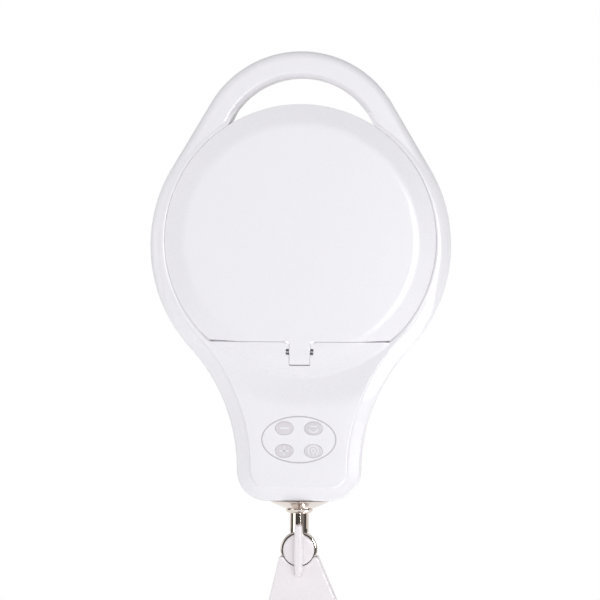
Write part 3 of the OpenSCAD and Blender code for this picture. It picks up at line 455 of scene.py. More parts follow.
LOOK = {
    "white_plastic": coated("white_plastic", SHELL_LOW, SHELL_HIGH, (0.25, 0.31), 1500, 2600, 0.00002),
    "painted_warm_light_plastic": coated("painted_warm_light_plastic", PAINTED_WARM_LIGHT_LOW, PAINTED_WARM_LIGHT_HIGH, (0.25, 0.31), 1500, 2600, 0.00002),
    "white_paint": coated("white_paint", SHELL_LOW, SHELL_HIGH, (0.3, 0.42), 420, 1500, 0.00005),
    # Chrome: the metallic gloss is real, but the warm brownish tint in its colour is a painted reflection of
    # brown surroundings. The metal itself is near neutral.
    "chrome_plate": coated(
        "chrome_plate", (0.70, 0.63, 0.58), (0.78, 0.71, 0.66), (0.04, 0.1), 60, 900, 0.000004, 1.0),
    "steel": brushed("steel", (0.42, 0.42, 0.43), (0.6, 0.6, 0.62), (0.22, 0.38), (900, 900, 60)),
    "rubber": coated("rubber", (0.016, 0.016, 0.018), (0.03, 0.03, 0.032), (0.7, 0.85), 60, 900, 0.0002),
    "lens_glass": clear_glass("lens_glass"),
    "milk_plastic": milky("milk_plastic"),
    "board": coated("board", (0.01, 0.07, 0.03), (0.015, 0.1, 0.045), (0.3, 0.45), 80, 600, 0.00004),
    "led_chip": coated("led_chip", (0.75, 0.55, 0.08), (0.85, 0.66, 0.14), (0.3, 0.4), 300, 900, 0.00002),
    "grey_print": coated("grey_print", (0.62, 0.59, 0.63), (0.66, 0.63, 0.67), (0.3, 0.4), 90, 2600, 0.00002),
    # Dark grey for the ring round the touch panel: painted shade of the groove between the panel and the
    # shell.
    "painted_groove_shade": coated("painted_groove_shade", (0.44, 0.42, 0.46), (0.48, 0.46, 0.50), (0.3, 0.4), 90, 2600, 0.00002),
    "contact_brass": coated(
        "contact_brass", (0.55, 0.38, 0.16), (0.62, 0.45, 0.2), (0.2, 0.3), 90, 900, 0.00002, 1.0),
    "black_plastic": coated(
        "black_plastic", (0.014, 0.014, 0.016), (0.024, 0.024, 0.026), (0.4, 0.55), 60, 1800, 0.00006),
}
SLOT_OF = {part["node"]: part["material_slot"] for part in frame["record"]["subparts"]}
BODIES = frame["record"]["behaviour"]["bodies"]
BODY_OF = {node: body for body, nodes in BODIES.items() for node in nodes}


def dress(obj, slot):
    obj.data.materials.clear()
    obj.data.materials.append(LOOK[slot])


def stand_for(obj, node):
    """A finer piece takes a node's place on the node's body."""
    dress(obj, SLOT_OF[node])
    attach(obj, BODY_OF[node])
    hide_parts(node)


def add_to(obj, body, slot):
    """A piece added on a body."""
    dress(obj, slot)
    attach(obj, body)


def edged(node, width):
    """Keeps a CAD node and gives it broken edges."""
    obj = frame["nodes"][node]
    obj.data.materials.clear()
    obj.data.materials.append(LOOK[SLOT_OF[node]])
    obj.data.shade_smooth()
    weld = obj.modifiers.new("weld", "WELD")
    weld.merge_threshold = 1e-6
    bevel = obj.modifiers.new("edges", "BEVEL")
    bevel.width = width * MM
    bevel.segments = 3
    bevel.limit_method = "ANGLE"
    bevel.angle_limit = math.radians(35)
    normals = obj.modifiers.new("normals", "WEIGHTED_NORMAL")
    normals.keep_sharp = False


def moulded(node, voxel, passes, keep):
    """A softened copy takes a CAD node's place."""
    obj = new_object(node + "_moulded", frame["nodes"][node].data.copy())
    soften(obj, voxel, passes, keep)
    stand_for(obj, node)
    return obj


# Head shells

def head_outline(inset):
    """Outline of ring and neck, clockwise from the top, moved inward."""
    flare_y = NECK_CORNER - NECK_LEN
    drop = -flare_y - RIM_DROP
    flare_r = (NECK_HALF ** 2 + drop ** 2 - RIM_R ** 2) / (2 * (RIM_R - NECK_HALF))
    flare_x = NECK_HALF + flare_r
    turn = math.degrees(math.atan2(drop, flare_x))
    half = arc(0, -RIM_DROP, RIM_R - inset, 90, -turn, 110)
    half += arc(flare_x, flare_y, flare_r + inset, 180 - turn, 180, 40, 1)
    half += arc(NECK_HALF - NECK_CORNER, flare_y, NECK_CORNER - inset, 0, -90, 24, 1)
    return half + [(-x, y) for x, y in reversed(half[1:])]


def loft(name, levels, side=1):
    """Solid through the head's outline at [inset, height] levels, in front of the parting or behind it."""
    return tube(name, [[(x, y, side * z) for x, y in head_outline(inset)] for inset, z in levels])


def band(inset, width, depth, steps=18):
    """Levels of a rounded band that rises from the side wall to a face."""
    turns = [math.pi / 2 * i / steps for i in range(steps + 1)]
    rise = depth - BAND_START
    return [(inset + width * (1 - math.cos(a)), BAND_START + rise * math.sin(a)) for a in turns]


def handle(name, side):
    """Half of the handle: an arch with straight legs that run into the ring."""
    inner, rise = ARCH_R - ARCH_BAR, ARCH_HALF - ARCH_ROUND
    profile = [(inner, 0.0), (inner, ARCH_HALF - 1.1 * ARCH_SLOPE)]
    profile += [(inner + ARCH_SLOPE, ARCH_HALF - 0.2), (inner + 1.3 * ARCH_SLOPE, ARCH_HALF)]
    profile += arc(ARCH_R - ARCH_ROUND, rise, ARCH_ROUND, 90, 0, 12)
    profile += [(ARCH_R, 0.0)]
    reach = ARCH_Y + RIM_DROP
    lean = math.asin((RIM_R - ARCH_R) / reach)
    leg = reach * math.cos(lean)
    stations = [(lean, leg)]
    stations += [(lean + (math.pi - 2 * lean) * i / 96, 0.0) for i in range(97)]
    stations += [(math.pi - lean, -leg)]
    rings = []
    for a, slide in stations:
        dx, dy = math.sin(a) * slide, -math.cos(a) * slide
        rings.append([(r * math.cos(a) + dx, ARCH_Y + r * math.sin(a) + dy, side * z) for r, z in profile])
    return tube(name, rings)


def window(name, grow=0.0):
    """The finger gap: inside the arch and outside the housing's edge."""
    inner = ARCH_R - ARCH_BAR + 0.3 + grow
    form = disc(name, 0, ARCH_Y, inner, -40, 40, 160)
    cut(form, disc("housing", 0, 0, EDGE_IN if grow else EDGE_R, -50, 50, 240))
    return form


def stem_way():
    return rod("stem_way", (0, -170, STEM_Z), (0, -120, STEM_Z), STEM_R + 0.6)


def hollow(levels, side):
    form = loft("hollow", levels, side)
    cut(form, window("window_wall", WALL))
    return form


def front_band(tilt, corner, depth):
    """Levels of the front's rounded edge and of the sloped band inside it, which ends at a depth."""
    slope = math.radians(tilt)
    end = corner * (1 - math.sin(slope))
    low = depth - (FRONT_BAND - end) * math.tan(slope) - corner * math.cos(slope)
    turns = [(math.pi / 2 - slope) * i / 12 for i in range(13)]
    rounded = [(corner * (1 - math.cos(a)), low + corner * math.sin(a)) for a in turns]
    return [(0, 0)] + rounded + [(FRONT_BAND, depth)]


def rim_band():
    """Levels of the rim: a small corner, then a long round that flattens toward the cover."""
    flat, steep = math.radians(RIM_FLAT), math.radians(RIM_STEEP)
    mid_in, mid_z = FRONT_BAND + RIM_BOW * math.sin(flat), RIM_TOP - RIM_BOW * math.cos(flat)
    edge_in, edge_z = mid_in - RIM_BOW * math.sin(steep), mid_z + RIM_BOW * math.cos(steep)
    corner = edge_in / (1 - math.sin(steep))
    levels = [(0, 0)]
    for a in [math.pi / 2 + (steep - math.pi / 2) * i / 4 for i in range(5)]:
        levels.append((corner * (1 - math.sin(a)), edge_z + corner * (math.cos(a) - math.cos(steep))))
    for a in [steep + (flat - steep) * i / 9 for i in range(1, 10)]:
        levels.append((mid_in - RIM_BOW * math.sin(a), mid_z + RIM_BOW * math.cos(a)))
    return levels


def rim_share(y):
    """How much of the neck's face shows at a height: none on the rim, all below the cover's straight edge."""
    t = min(1.0, max(0.0, (CHORD_Y + RIM_RISE - y) / RIM_RISE))
    return t * t * (3 - 2 * t)


def dip_levels():
    """Radius, slopes and depth of the dome's line, which runs on past the straight edge and rises again."""
    fall = math.tan(math.radians(COVER_SLOPE))
    slope_r = COVER_FLAT + COVER_BEND * math.sin(math.radians(COVER_SLOPE))
    start = COVER_BEND * (1 - math.cos(math.radians(COVER_SLOPE))) + (DIP_START - slope_r) * fall
    turn, level, ease = DIP_TURN - DIP_START, DIP_EASE - DIP_TURN, DIP_END - DIP_EASE
    rise = (start + fall * turn / 2) / (turn / 2 + level + ease / 2)
    return slope_r, fall, start, rise


def dip(r):
    """Depth under the neck's face at a radius."""
    slope_r, fall, start, rise = dip_levels()
    if r <= COVER_FLAT or r >= DIP_END:
        return 0.0
    if r <= slope_r:
        return COVER_BEND - math.sqrt(COVER_BEND ** 2 - (r - COVER_FLAT) ** 2)
    if r <= DIP_START:
        return start - (DIP_START - r) * fall
    if r <= DIP_TURN:
        t = r - DIP_START
        return start + fall * t - (fall + rise) * t * t / (2 * (DIP_TURN - DIP_START))
    if r <= DIP_EASE:
        return rise * (DIP_EASE - r + (DIP_END - DIP_EASE) / 2)
    return rise * (DIP_END - r) ** 2 / (2 * (DIP_END - DIP_EASE))


def lower_to_dome(obj, share):
    """Lowers points high on the front to the dome's line, each by its share."""
    to_head = IN_HEAD.inverted()
    for vertex in obj.data.vertices:
        p = to_head @ vertex.co
        part = share(p)
        if p.z > DIP_LOW and part:
            full = min(1.0, (p.z - DIP_LOW) / (DIP_FULL - DIP_LOW))
            p.z -= dip(math.hypot(p.x, p.y)) * part * full
            vertex.co = IN_HEAD @ p


def neck_to_dome(obj):
    """Lowers the neck's face below the cover's straight edge."""
    lower_to_dome(obj, lambda p: rim_share(p.y))


def tab_to_dome(obj):
    """Lowers the cover's tab; the rest of the cover already has the dome."""
    lower_to_dome(obj, lambda p: p.y < CHORD_Y and abs(p.x) < TAB_HALF + TAB_FILLET + 1)


def front_skin():
    """Front of the head: the neck's stepped face dies away into the lower rim round the cover."""
    low = FRONT_DEPTH - FACE_STEP
    face = front_band(BAND_TILT, FRONT_ROUND, low)
    step = ((0.1, low + 0.1), (0.4, FRONT_DEPTH - 0.15), (0.8, FRONT_DEPTH))
    face += [(FRONT_BAND + inset, z) for inset, z in step]
    rim = rim_band() + [(FRONT_BAND + inset, RIM_TOP) for inset, z in step]
    face += [(RISER, FRONT_DEPTH), (RISER + 0.1, FRONT_DEPTH)]
    rim += [(RISER, RIM_TOP), (RISER + 0.1, FRONT_DEPTH)]
    rings = []
    for (face_in, face_z), (rim_in, rim_z) in zip(face, rim):
        ring = []
        for (fx, fy), (rx, ry) in zip(head_outline(face_in), head_outline(rim_in)):
            share = rim_share(ry)
            ring.append((rx + (fx - rx) * share, ry + (fy - ry) * share, rim_z + (face_z - rim_z) * share))
        rings.append(ring)
    return tube("front_shell_skin", rings)


def cover_seat():
    """Recess for the cover with a fine ledge under the cover's edge."""
    wall = COVER_R + LINE_GAP
    rings = []
    for i in range(240):
        a = 2 * math.pi * i / 240
        top = RIM_TOP + dip(wall) * rim_share(wall * math.sin(a))
        profile = [(0, RECESS_FLOOR), (wall - LIP, RECESS_FLOOR), (wall - LIP, top - 1.0), (wall, top - 1.0)]
        profile += [(wall, top - FACET_DROP), (wall + FACET_W, top), (wall + FACET_W + 0.1, 30), (0, 30)]
        rings.append([(r * math.cos(a), r * math.sin(a), z) for r, z in profile])
    form = tube("seat", rings, IN_HEAD, True)
    low = CHORD_Y - LINE_GAP
    cut(form, block("below", (-120, low - 120, 0), (120, low, 60)))
    return form


def tab_corner(name, side, grow, z0):
    """Small fillet between the cover's straight edge and its tab."""
    r = TAB_FILLET
    x, y = TAB_HALF + r, CHORD_Y - r
    curve = arc(x, y, r - grow, 180, 90, 8)
    outline = [(TAB_HALF - 1, CHORD_Y + 1), (TAB_HALF - 1, y)] + curve + [(x, CHORD_Y + 1)]
    return prism(name, [(side * px, py) for px, py in outline], z0, 30)


def barrel(x0, x1):
    """Rounded edge of the shell on which the cover's straight edge turns."""
    form = rod("barrel", (x0, HINGE_Y, HINGE_Z), (x1, HINGE_Y, HINGE_Z), SWING_R - 0.17, 96)
    edge = CHORD_Y - LINE_GAP - 0.5
    cut(form, block("inside", (-90, edge - 20, -20), (90, edge, 40)))
    cut(form, block("above", (-90, -90, FRONT_DEPTH - 0.05), (90, 0, 40)))
    return form


def front_shell():
    body = front_skin()
    add(body, handle("arch", 1))
    cut(body, hollow([(WALL, -1), (WALL + 0.4, BEZEL_LOW)], 1), window("window"), cover_seat())
    cut(body, disc("opening", 0, 0, LENS_OPEN, -10, 30, 240))
    width = TAB_HALF + LINE_GAP
    cut(body, rod("well", (-width, HINGE_Y, HINGE_Z), (width, HINGE_Y, HINGE_Z), HINGE_WELL, 96))
    for side in (-1, 1):
        x0, x1 = sorted((side * width, side * (width + NOTCH_W)))
        cut(body, block("notch", (x0, HINGE_Y - NOTCH_HALF, HINGE_Z), (x1, HINGE_Y + NOTCH_HALF, 30)))
        cut(body, tab_corner("corner", side, LINE_GAP, HINGE_Z))
        add(body, barrel(side * (width + NOTCH_W + 0.3), side * BARREL_REACH))
    panel = [(x, y + PANEL_Y) for x, y in oval(PANEL_W, PANEL_H)]
    cut(body, prism("panel_seat", panel, PANEL_FLOOR, 20), stem_way())
    collar = [(COLLAR_R, COLLAR_LOW), (COLLAR_R, BEZEL_LOW + 1), (LENS_OPEN, BEZEL_LOW + 1), (LENS_OPEN, 3.3)]
    add(body, lathe("collar", collar + [(COLLAR_IN, 1.6), (COLLAR_IN, COLLAR_LOW)], 200))
    soften(body, voxel=0.32, passes=2, keep=0.16, shape=neck_to_dome)
    stand_for(body, "front_shell")


def screw_spots():
    ring = RIM_R - WALL - 4.1
    turns = [math.radians(a) for a in (14, 166, 205, 335)]
    spots = [(ring * math.cos(a), ring * math.sin(a) - RIM_DROP) for a in turns]
    return spots + [(side * 26.95, 14 - NECK_LEN) for side in (-1, 1)]


def rear_shell():
    body = loft("rear_shell_skin", [(0, 0)] + band(0, REAR_BAND, REAR_DEPTH), -1)
    add(body, handle("arch", -1))
    cut(body, hollow([(WALL, -1)] + band(WALL, REAR_BAND, REAR_DEPTH - WALL), -1), window("window"))
    cut(body, disc("light_way", 0, 0, LIGHT_WAY_R, -30, 10, 240), stem_way())
    for x, y in screw_spots():
        add(body, disc("boss", x, y, BOSS_R, 1 - REAR_DEPTH, -0.5))
        cut(body, disc("screw_way", x, y, SCREW_WAY_R, -30, SCREW_SEAT))
    cut(body, disc("inlet_way", 0, INLET_Y, INLET_R, -30, -5))
    soften(body, voxel=0.55, passes=3, keep=0.3)
    stand_for(body, "rear_shell")


def cover():
    """Crowned dish with a rounded edge, straight along the hinge, and its hinge tab."""
    profile = [(0.0, FRONT_DEPTH)]
    bend = arc(COVER_FLAT, FRONT_DEPTH - COVER_BEND, COVER_BEND, 90, 90 - COVER_SLOPE, 12)
    slope_r, slope_z = bend[-1]
    fall = (COVER_R - COVER_EDGE - slope_r) * math.tan(math.radians(COVER_SLOPE))
    edge = arc(COVER_R - COVER_EDGE, slope_z - fall - COVER_EDGE, COVER_EDGE, 90 - COVER_SLOPE, 0, 6)
    profile += bend + edge
    outside, inside = COVER_R - LIP, COVER_R - LIP - COVER_WALL
    profile += [(COVER_R, RIM_TOP - 0.8), (outside, RIM_TOP - 0.8), (outside, COVER_LOW), (inside, COVER_LOW)]
    profile += [(inside, FRONT_DEPTH - 5.5), (COVER_FLAT, FRONT_DEPTH - COVER_WALL)]
    profile += [(0.0, FRONT_DEPTH - COVER_WALL)]
    dish = lathe("lens_cover_dish", profile, 256)
    cut(dish, block("below", (-120, -200, -20), (120, CHORD_Y, 60)))
    add(dish, block("skirt", (-50, CHORD_Y, COVER_LOW), (50, CHORD_Y + COVER_WALL, FRONT_DEPTH - 2.5)))
    cut(dish, rod("swing", (-80, HINGE_Y, HINGE_Z), (80, HINGE_Y, HINGE_Z), SWING_R, 96))
    for side in (-1, 1):
        ends = ((side * CORNER_X, SWING_R), (side * (CORNER_X + CORNER_L), SWING_R + CORNER_GROW))
        rings = [[(x, y, z) for y, z in arc(HINGE_Y, HINGE_Z, r, 0, 360, 96, 1)] for x, r in ends]
        cut(dish, tube("corner_room", rings))
    add(dish, block("tab", (-TAB_HALF, TAB_END, HINGE_Z), (TAB_HALF, CHORD_Y + 2, FRONT_DEPTH)))
    add(dish, rod("knuckle", (-TAB_HALF, HINGE_Y, HINGE_Z), (TAB_HALF, HINGE_Y, HINGE_Z), KNUCKLE_R))
    for side in (-1, 1):
        corner = tab_corner("corner", side, 0.0, FRONT_DEPTH - LIP)
        cut(corner, block("above", (-20, CHORD_Y - 20, FRONT_DEPTH), (20, CHORD_Y + 20, 60)))
        add(dish, corner)
    cut(dish, block("tab_line", (-10, -69.3, FRONT_DEPTH - 0.35), (10, -68.8, 30)))
    soften(dish, voxel=0.32, passes=2, keep=0.16, shape=tab_to_dome)
    stand_for(dish, "lens_cover")


# Touch panel

def stroke(points, width, closed=False):
    """The two sides of a line of some width along points."""
    left, right = [], []
    n = len(points)
    for i, (x, y) in enumerate(points):
        ax, ay = points[(i - 1) % n] if closed or i else points[0]
        bx, by = points[(i + 1) % n] if closed or i < n - 1 else points[-1]
        length = math.hypot(bx - ax, by - ay)
        nx, ny = (ay - by) / length * width / 2, (bx - ax) / length * width / 2
        left.append((x + nx, y + ny))
        right.append((x - nx, y - ny))
    return left, right


def mark(name, points, width, x, y, z0, z1, closed=False):
    """Thin raised line along points."""
    left, right = stroke(points, width, closed)
    rings = []
    for (lx, ly), (rx, ry) in zip(left, right):
        rings.append([(x + lx, y + ly, z0), (x + rx, y + ry, z0), (x + rx, y + ry, z1), (x + lx, y + ly, z1)])
    return tube(name, rings, IN_HEAD, closed)


def touch_marks():
    # The ring round the panel is painted groove shade: a dark grey band laid over the seam between the panel
    # and the shell.
    line = mark("panel_line", oval(PANEL_W + 0.2, PANEL_H + 0.2, 160), 0.7, 0, PANEL_Y, 15.6, 16.03, True)
    add_to(line, "head", "grey_print")
    line.data.materials[0] = LOOK["painted_groove_shade"]
    left, right, up, down = -KEY_DX / 2, KEY_DX / 2, PANEL_Y + KEY_DY / 2, PANEL_Y - KEY_DY / 2
    dash, bar = [(-2.7, 0), (0, 0), (2.7, 0)], [(0, -2.6), (0, 0), (0, 2.6)]
    signs = [
        ("minus", dash, 1.0, left, up, False),
        ("plus", dash, PRINT_W, left, down, False),
        ("plus_up", bar, PRINT_W, left, down, False),
        ("cup", arc(0, 0.4, 2.7, 200, 340, 20), PRINT_W, right, up, False),
        ("cup_dash", [(-2.2, 1.2), (0, 1.2), (2.2, 1.2)], PRINT_W, right, up, False),
        ("ring", arc(0, 0.3, 2.9, -55, 235, 40), THIN_PRINT_W, right, down, False),
        ("dot", oval(2.2, 2.2, 32), THIN_PRINT_W, right, down + 0.3, True),
        ("stalk", [(0, -0.9), (0, -2), (0, -3.3)], THIN_PRINT_W, right, down, False),
    ]
    marks = []
    for name, points, width, x, y, closed in signs:
        marks.append(mark(name, points, width, x, y, PRINT_LOW, PRINT_TOP, closed))
    add_to(join("key_marks", marks), "head", "white_plastic")


# Bell, stem, knob and bracket

def in_stem(y):
    return IN_HEAD @ Matrix.Translation((0, y, STEM_Z)) @ DOWN_STEM


def stem_metal():
    flare = [(STEM_R + 0.05, 0.0), (BELL_R - 0.1, 0.0), (BELL_R, 0.1), (BELL_R - 0.45, 0.6)]
    flare += [(BELL_R - 1.0, 0.95), (13.6, 2.4), (11.0, 3.5), (9.2, 4.2), (8.2, 4.6)]
    turns = [math.radians(9 * i) for i in range(9)]
    bead = [(7.6, 4.7), (7.6, 4.9)]
    bead += [(STEM_R + 2.4 * math.cos(a), 5.0 + 2.4 * math.sin(a)) for a in turns]
    bell = turned("bell_turned", flare + bead + [(STEM_R + 0.05, 7.3)], in_stem(BELL_TOP), 160)
    stand_for(bell, "bell")
    length = STEM_TOP - (EYE_Y + EYE_R - 0.6)
    side = [(0, 0), (STEM_R - 0.3, 0), (STEM_R, 0.3), (STEM_R, length), (0, length)]
    shaft = turned("shaft", side, in_stem(STEM_TOP), 96)
    place = IN_HEAD @ Matrix.Translation((0, EYE_Y, STEM_Z))
    edge = 0.9
    rim = arc(EYE_R - edge, EYE_HALF - edge, edge, 90, 0, 6)
    rim += arc(EYE_R - edge, edge - EYE_HALF, edge, 0, -90, 6)
    eye = turned("eye", [(EYE_BORE, EYE_HALF)] + rim + [(EYE_BORE, -EYE_HALF)], place, 128)
    half_w, half_d = STEM_R - 0.7, 3.6
    shank = block("shank", (-half_w, EYE_Y + 8, STEM_Z - half_d), (half_w, EYE_Y + 12.2, STEM_Z + half_d))
    metal = join("stem_turned", [shaft, eye, shank])
    smooth_shade(metal)
    stand_for(metal, "stem")


def knob():
    """Round seat with a tapered grip bar."""
    low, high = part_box("tilt_knob")
    centre = (low + high) / 2 / MM
    place = along_y(centre.x, centre.z)
    edge = 0.8
    face = KNOB_FACE
    seat = [(0, KNOB_SEAT), (KNOB_R, KNOB_SEAT)]
    seat += arc(KNOB_R - edge, face - edge, edge, 0, 90, 6) + [(0, face)]
    body = lathe("tilt_knob_body", seat, 128, place)
    grip = []
    levels = [(-0.4, 3.0, 2.1, 15.0), (6.1, 2.5, 1.9, 14.7), (6.8, 2.2, 1.6, 14.4), (7.0, 1.7, 1.1, 13.9)]
    for rise, middle, end, half_l in levels:
        side = [half_l * (i / 8 - 1) for i in range(17)]
        right = [(end + (middle - end) * math.cos(math.pi * y / 2 / half_l), y) for y in side]
        grip.append([(x, y, face + rise) for x, y in right + [(-x, y) for x, y in reversed(right)]])
    add(body, tube("grip", grip, place))
    soften(body, voxel=0.25, passes=4, keep=0.5)
    stand_for(body, "tilt_knob")
    # Painted warm light: the knob takes the pinkish copy of the white plastic.
    body.data.materials[0] = LOOK["painted_warm_light_plastic"]


# Arm

def pivot(x, z):
    """Rivet with domed, dimpled heads."""
    head = [(0, 12.3), (1.1, 12.35), (1.5, 12.9), (2.1, 13.0), (3.2, 12.85), (4.1, 12.4)]
    head += [(4.55, 11.7), (4.6, PLATE_OUT), (PIVOT_R, PLATE_OUT)]
    return turned("pivot", head + [(r, -y) for r, y in reversed(head)], along_y(x, z), 48)


def stud(x, z):
    """Spring stud with a groove for the hook at each end."""
    end = [(0, STUD_L), (1.3, STUD_L), (STUD_R, 21.6), (STUD_R, 20.0)]
    end += [(1.5, 19.6), (1.5, 17.6), (STUD_R, 17.2)]
    return turned("stud", end + [(r, -y) for r, y in reversed(end)], along_y(x, z), 40)


def bolt(x, z, r, head_r, head_h, start, end):
    """Bolt along Y with a recessed round head at the start."""
    out = start - head_h
    profile = [(0, start - 0.4), (0.5 * head_r, start - 0.5), (0.6 * head_r, out + 0.1), (0.75 * head_r, out)]
    profile += [(0.93 * head_r, out + 0.25), (head_r, start - 0.5 * head_h), (head_r, start)]
    profile += [(r, start), (r, end), (0, end)]
    return turned("bolt", [(a, -b) for a, b in profile], along_y(x, z), 40)


ELBOW_X = -BAR_L * math.sin(LEAN)
ELBOW_Z = BASE_Z + BAR_L * math.cos(LEAN)
CROOK_Z = ELBOW_Z + ELBOW_H
BRACKET_Z = CROOK_Z + BAR_L * math.cos(LEAN)


def pivots(x, z):
    return [pivot(x + side * HALF_PITCH, z) for side in (-1, 1)]


def arm_pins():
    stand_for(join("bracket_rivets", pivots(0, BRACKET_Z)), "bracket_pins")
    elbow = pivots(ELBOW_X, ELBOW_Z) + pivots(ELBOW_X, CROOK_Z) + [stud(ELBOW_X, CROOK_Z - STUD_DROP)]
    stand_for(join("elbow_rivets", elbow), "elbow_pins")
    base = pivots(0, BASE_Z) + [stud(0, BASE_Z - STUD_DROP)]
    base += [bolt(side * 9, BASE_Z - 22, 2.0, 3.6, 2.0, -PLATE_OUT, PLATE_OUT) for side in (-1, 1)]
    stand_for(join("base_rivets", base), "base_pins")
    lower_pin = ("lower_spring_pin", -HALF_PITCH, BASE_Z, -LEAN)
    upper_pin = ("upper_spring_pin", ELBOW_X + HALF_PITCH, CROOK_Z, LEAN)
    for node, x, z, lean in (lower_pin, upper_pin):
        stand_for(stud(x + SPRING_AT * math.sin(lean), z + SPRING_AT * math.cos(lean)), node)


def wire(name, path, r=WIRE_R, sides=10):
    """Round wire along a path of points in millimetres."""
    rings = []
    lean = Vector((0, 1, 0))
    for i, point in enumerate(path):
        ahead = (path[min(i + 1, len(path) - 1)] - path[max(i - 1, 0)]).normalized()
        u = (lean - ahead * lean.dot(ahead)).normalized()
        v = ahead.cross(u)
        lean = u
        turns = [2 * math.pi * k / sides for k in range(sides)]
        rings.append([tuple(point + r * (math.cos(a) * u + math.sin(a) * v)) for a in turns])
    obj = tube(name, rings, IN_WORLD)
    obj.data.shade_smooth()
    return obj


def springs(stage, x, z, side, lean):
    """Tension springs in front and behind.

    Coil and upper hook ride on the bar; the lower hook stays where it is built, at the pivot, on no body.
    """
    start = Vector((x, 0, z - STUD_DROP))
    end = Vector((x + side * HALF_PITCH + SPRING_AT * math.sin(lean), 0, z + SPRING_AT * math.cos(lean)))
    ahead = (end - start).normalized()
    across = Vector((0, 1, 0)).cross(ahead)
    length = (end - start).length
    first, last = (length - COIL_L) / 2, (length + COIL_L) / 2
    for place, y in (("front", -STUD_Y), ("rear", STUD_Y)):
        out = Vector((0, math.copysign(1, y), 0))
        base = start + Vector((0, y, 0))
        coil = []
        steps = COIL_TURNS * 16
        for i in range(steps + 1):
            a = 2 * math.pi * COIL_TURNS * i / steps
            r = COIL_R * min(1, i / 10, (steps - i) / 10)
            centre = base + ahead * (first + COIL_L * i / steps)
            coil.append(centre + r * (math.cos(a) * across + math.sin(a) * out))
        hook = [base + ahead * (last + (length - STUD_R - 1.2 - last) * k / 6) for k in range(1, 7)]
        turns = [math.radians(-90 + 20 * j) for j in range(1, 17)]
        eye = [base + ahead * (length + HOOK_R * math.sin(turns[0]))]
        for a in turns[1:]:
            eye.append(base + ahead * (length + HOOK_R * math.sin(a)) + across * HOOK_R * math.cos(a))
        upper = wire(f"{stage}_spring_{place}_coil", coil + hook + eye)
        stand_for(upper, f"{stage}_spring_{place}")
        turns = [math.radians(230 - 20 * j) for j in range(16)]
        loop = [base - ahead * HOOK_R * math.sin(a) + across * HOOK_R * math.cos(a) for a in turns]
        tail = [base + ahead * (STUD_R + 1.4 + (first - STUD_R - 1.4) * k / 16) for k in range(17)]
        lower = wire(f"{stage}_spring_{place}_hook", loop + tail)
        dress(lower, SLOT_OF[f"{stage}_spring_{place}"])
        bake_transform(lower)


# Screws of the head, lens and inlet

def small_screws():
    """Pan heads with a cross slot."""
    heads = []
    for x, y in screw_spots():
        place = IN_HEAD @ Matrix.Translation((x, y, SCREW_SEAT))
        head = lathe("head", [(0, 0), (2.8, 0), (2.8, -0.9), (2.4, -1.6), (1.6, -1.95), (0, -2.0)], 40, place)
        for half_w, half_h in ((1.6, 0.3), (0.3, 1.6)):
            cut(head, block("slot", (-half_w, -half_h, -3), (half_w, half_h, -1.1), place))
        smooth_shade(head, 30)
        shank = turned("shank", [(0, 0), (1.4, 0), (1.4, 20.5), (0, 20.5)], place, 32)
        heads += [head, shank]
    stand_for(join("shell_screw_heads", heads), "shell_screws")
    low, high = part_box("bracket_screws")
    mid = (low + high) / 2 / MM
    rear = [bolt(mid.x + side * 8, mid.z, 1.6, 3.0, 1.6, PLATE_OUT, -PLATE_OUT + 2.3) for side in (-1, 1)]
    stand_for(join("bracket_screw_heads", rear), "bracket_screws")


def lens():
    ball = (LENS_R ** 2 + LENS_BULGE ** 2) / (2 * LENS_BULGE)
    top = LENS_EDGE / 2 + LENS_BULGE
    turn = math.degrees(math.asin(LENS_R / ball))
    face = [(r, z + top - ball) for r, z in arc(0, 0, ball, 90, 90 - turn, 32)]
    face[0] = (0.0, top)
    stand_for(turned("lens_ground", face + [(r, -z) for r, z in reversed(face)], IN_HEAD, 200), "lens")


def inlet():
    place = IN_HEAD @ Matrix.Translation((0, INLET_Y, 0))
    pin = [(0, -19.0), (0.55, -18.95), (0.95, -18.4), (1.0, -12.0), (0, -12.0)]
    add_to(turned("inlet_pin", pin, place, 32), "head", "contact_brass")


# Clamp

def thread():
    """Threaded clamp screw with its nose and drilled head."""
    low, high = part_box("clamp_screw")
    low_z, top_z = low.z / MM, high.z / MM - 7.15
    start = low_z + SCREW_HEAD_L
    rows, turns = 12, 48
    angles = [2 * math.pi * k / turns for k in range(turns)]
    rings = [[(5.6 * math.cos(a), 5.6 * math.sin(a), start - 1.0) for a in angles]]
    count = int((top_z - start) / THREAD_PITCH * rows)
    for i in range(count + 1):
        z = start + (top_z - start) * i / count
        ring = []
        for k, a in enumerate(angles):
            phase = ((z - start) / THREAD_PITCH - k / turns) % 1.0
            wave = min(1.0, max(0.0, 2.2 * abs(2 * phase - 1) - 0.6))
            r = THREAD_ROOT + (THREAD_R - THREAD_ROOT) * wave
            ring.append((r * math.cos(a), r * math.sin(a), z))
        rings.append(ring)
    screw = tube("thread", rings, IN_WORLD)
    smooth_shade(screw, 30)
    nose = [(0, -1), (4.0, -1), (4.0, 6.4), (3.4, 7.1), (0, 7.1)]
    nose = turned("nose", [(r, top_z + z) for r, z in nose], IN_WORLD, 48)
    head = [(0, 0), (7.2, 0), (8.0, 0.8), (8.0, 15.2), (7.2, SCREW_HEAD_L), (0, SCREW_HEAD_L)]
    head = lathe("head", [(r, low_z + z) for r, z in head], 64, IN_WORLD)
    cut(head, rod("way", (-20, 0, low_z + 8), (20, 0, low_z + 8), 3.1, 40, IN_WORLD))
    smooth_shade(head, 30)
    stand_for(join("clamp_screw_turned", [screw, nose, head]), "clamp_screw")


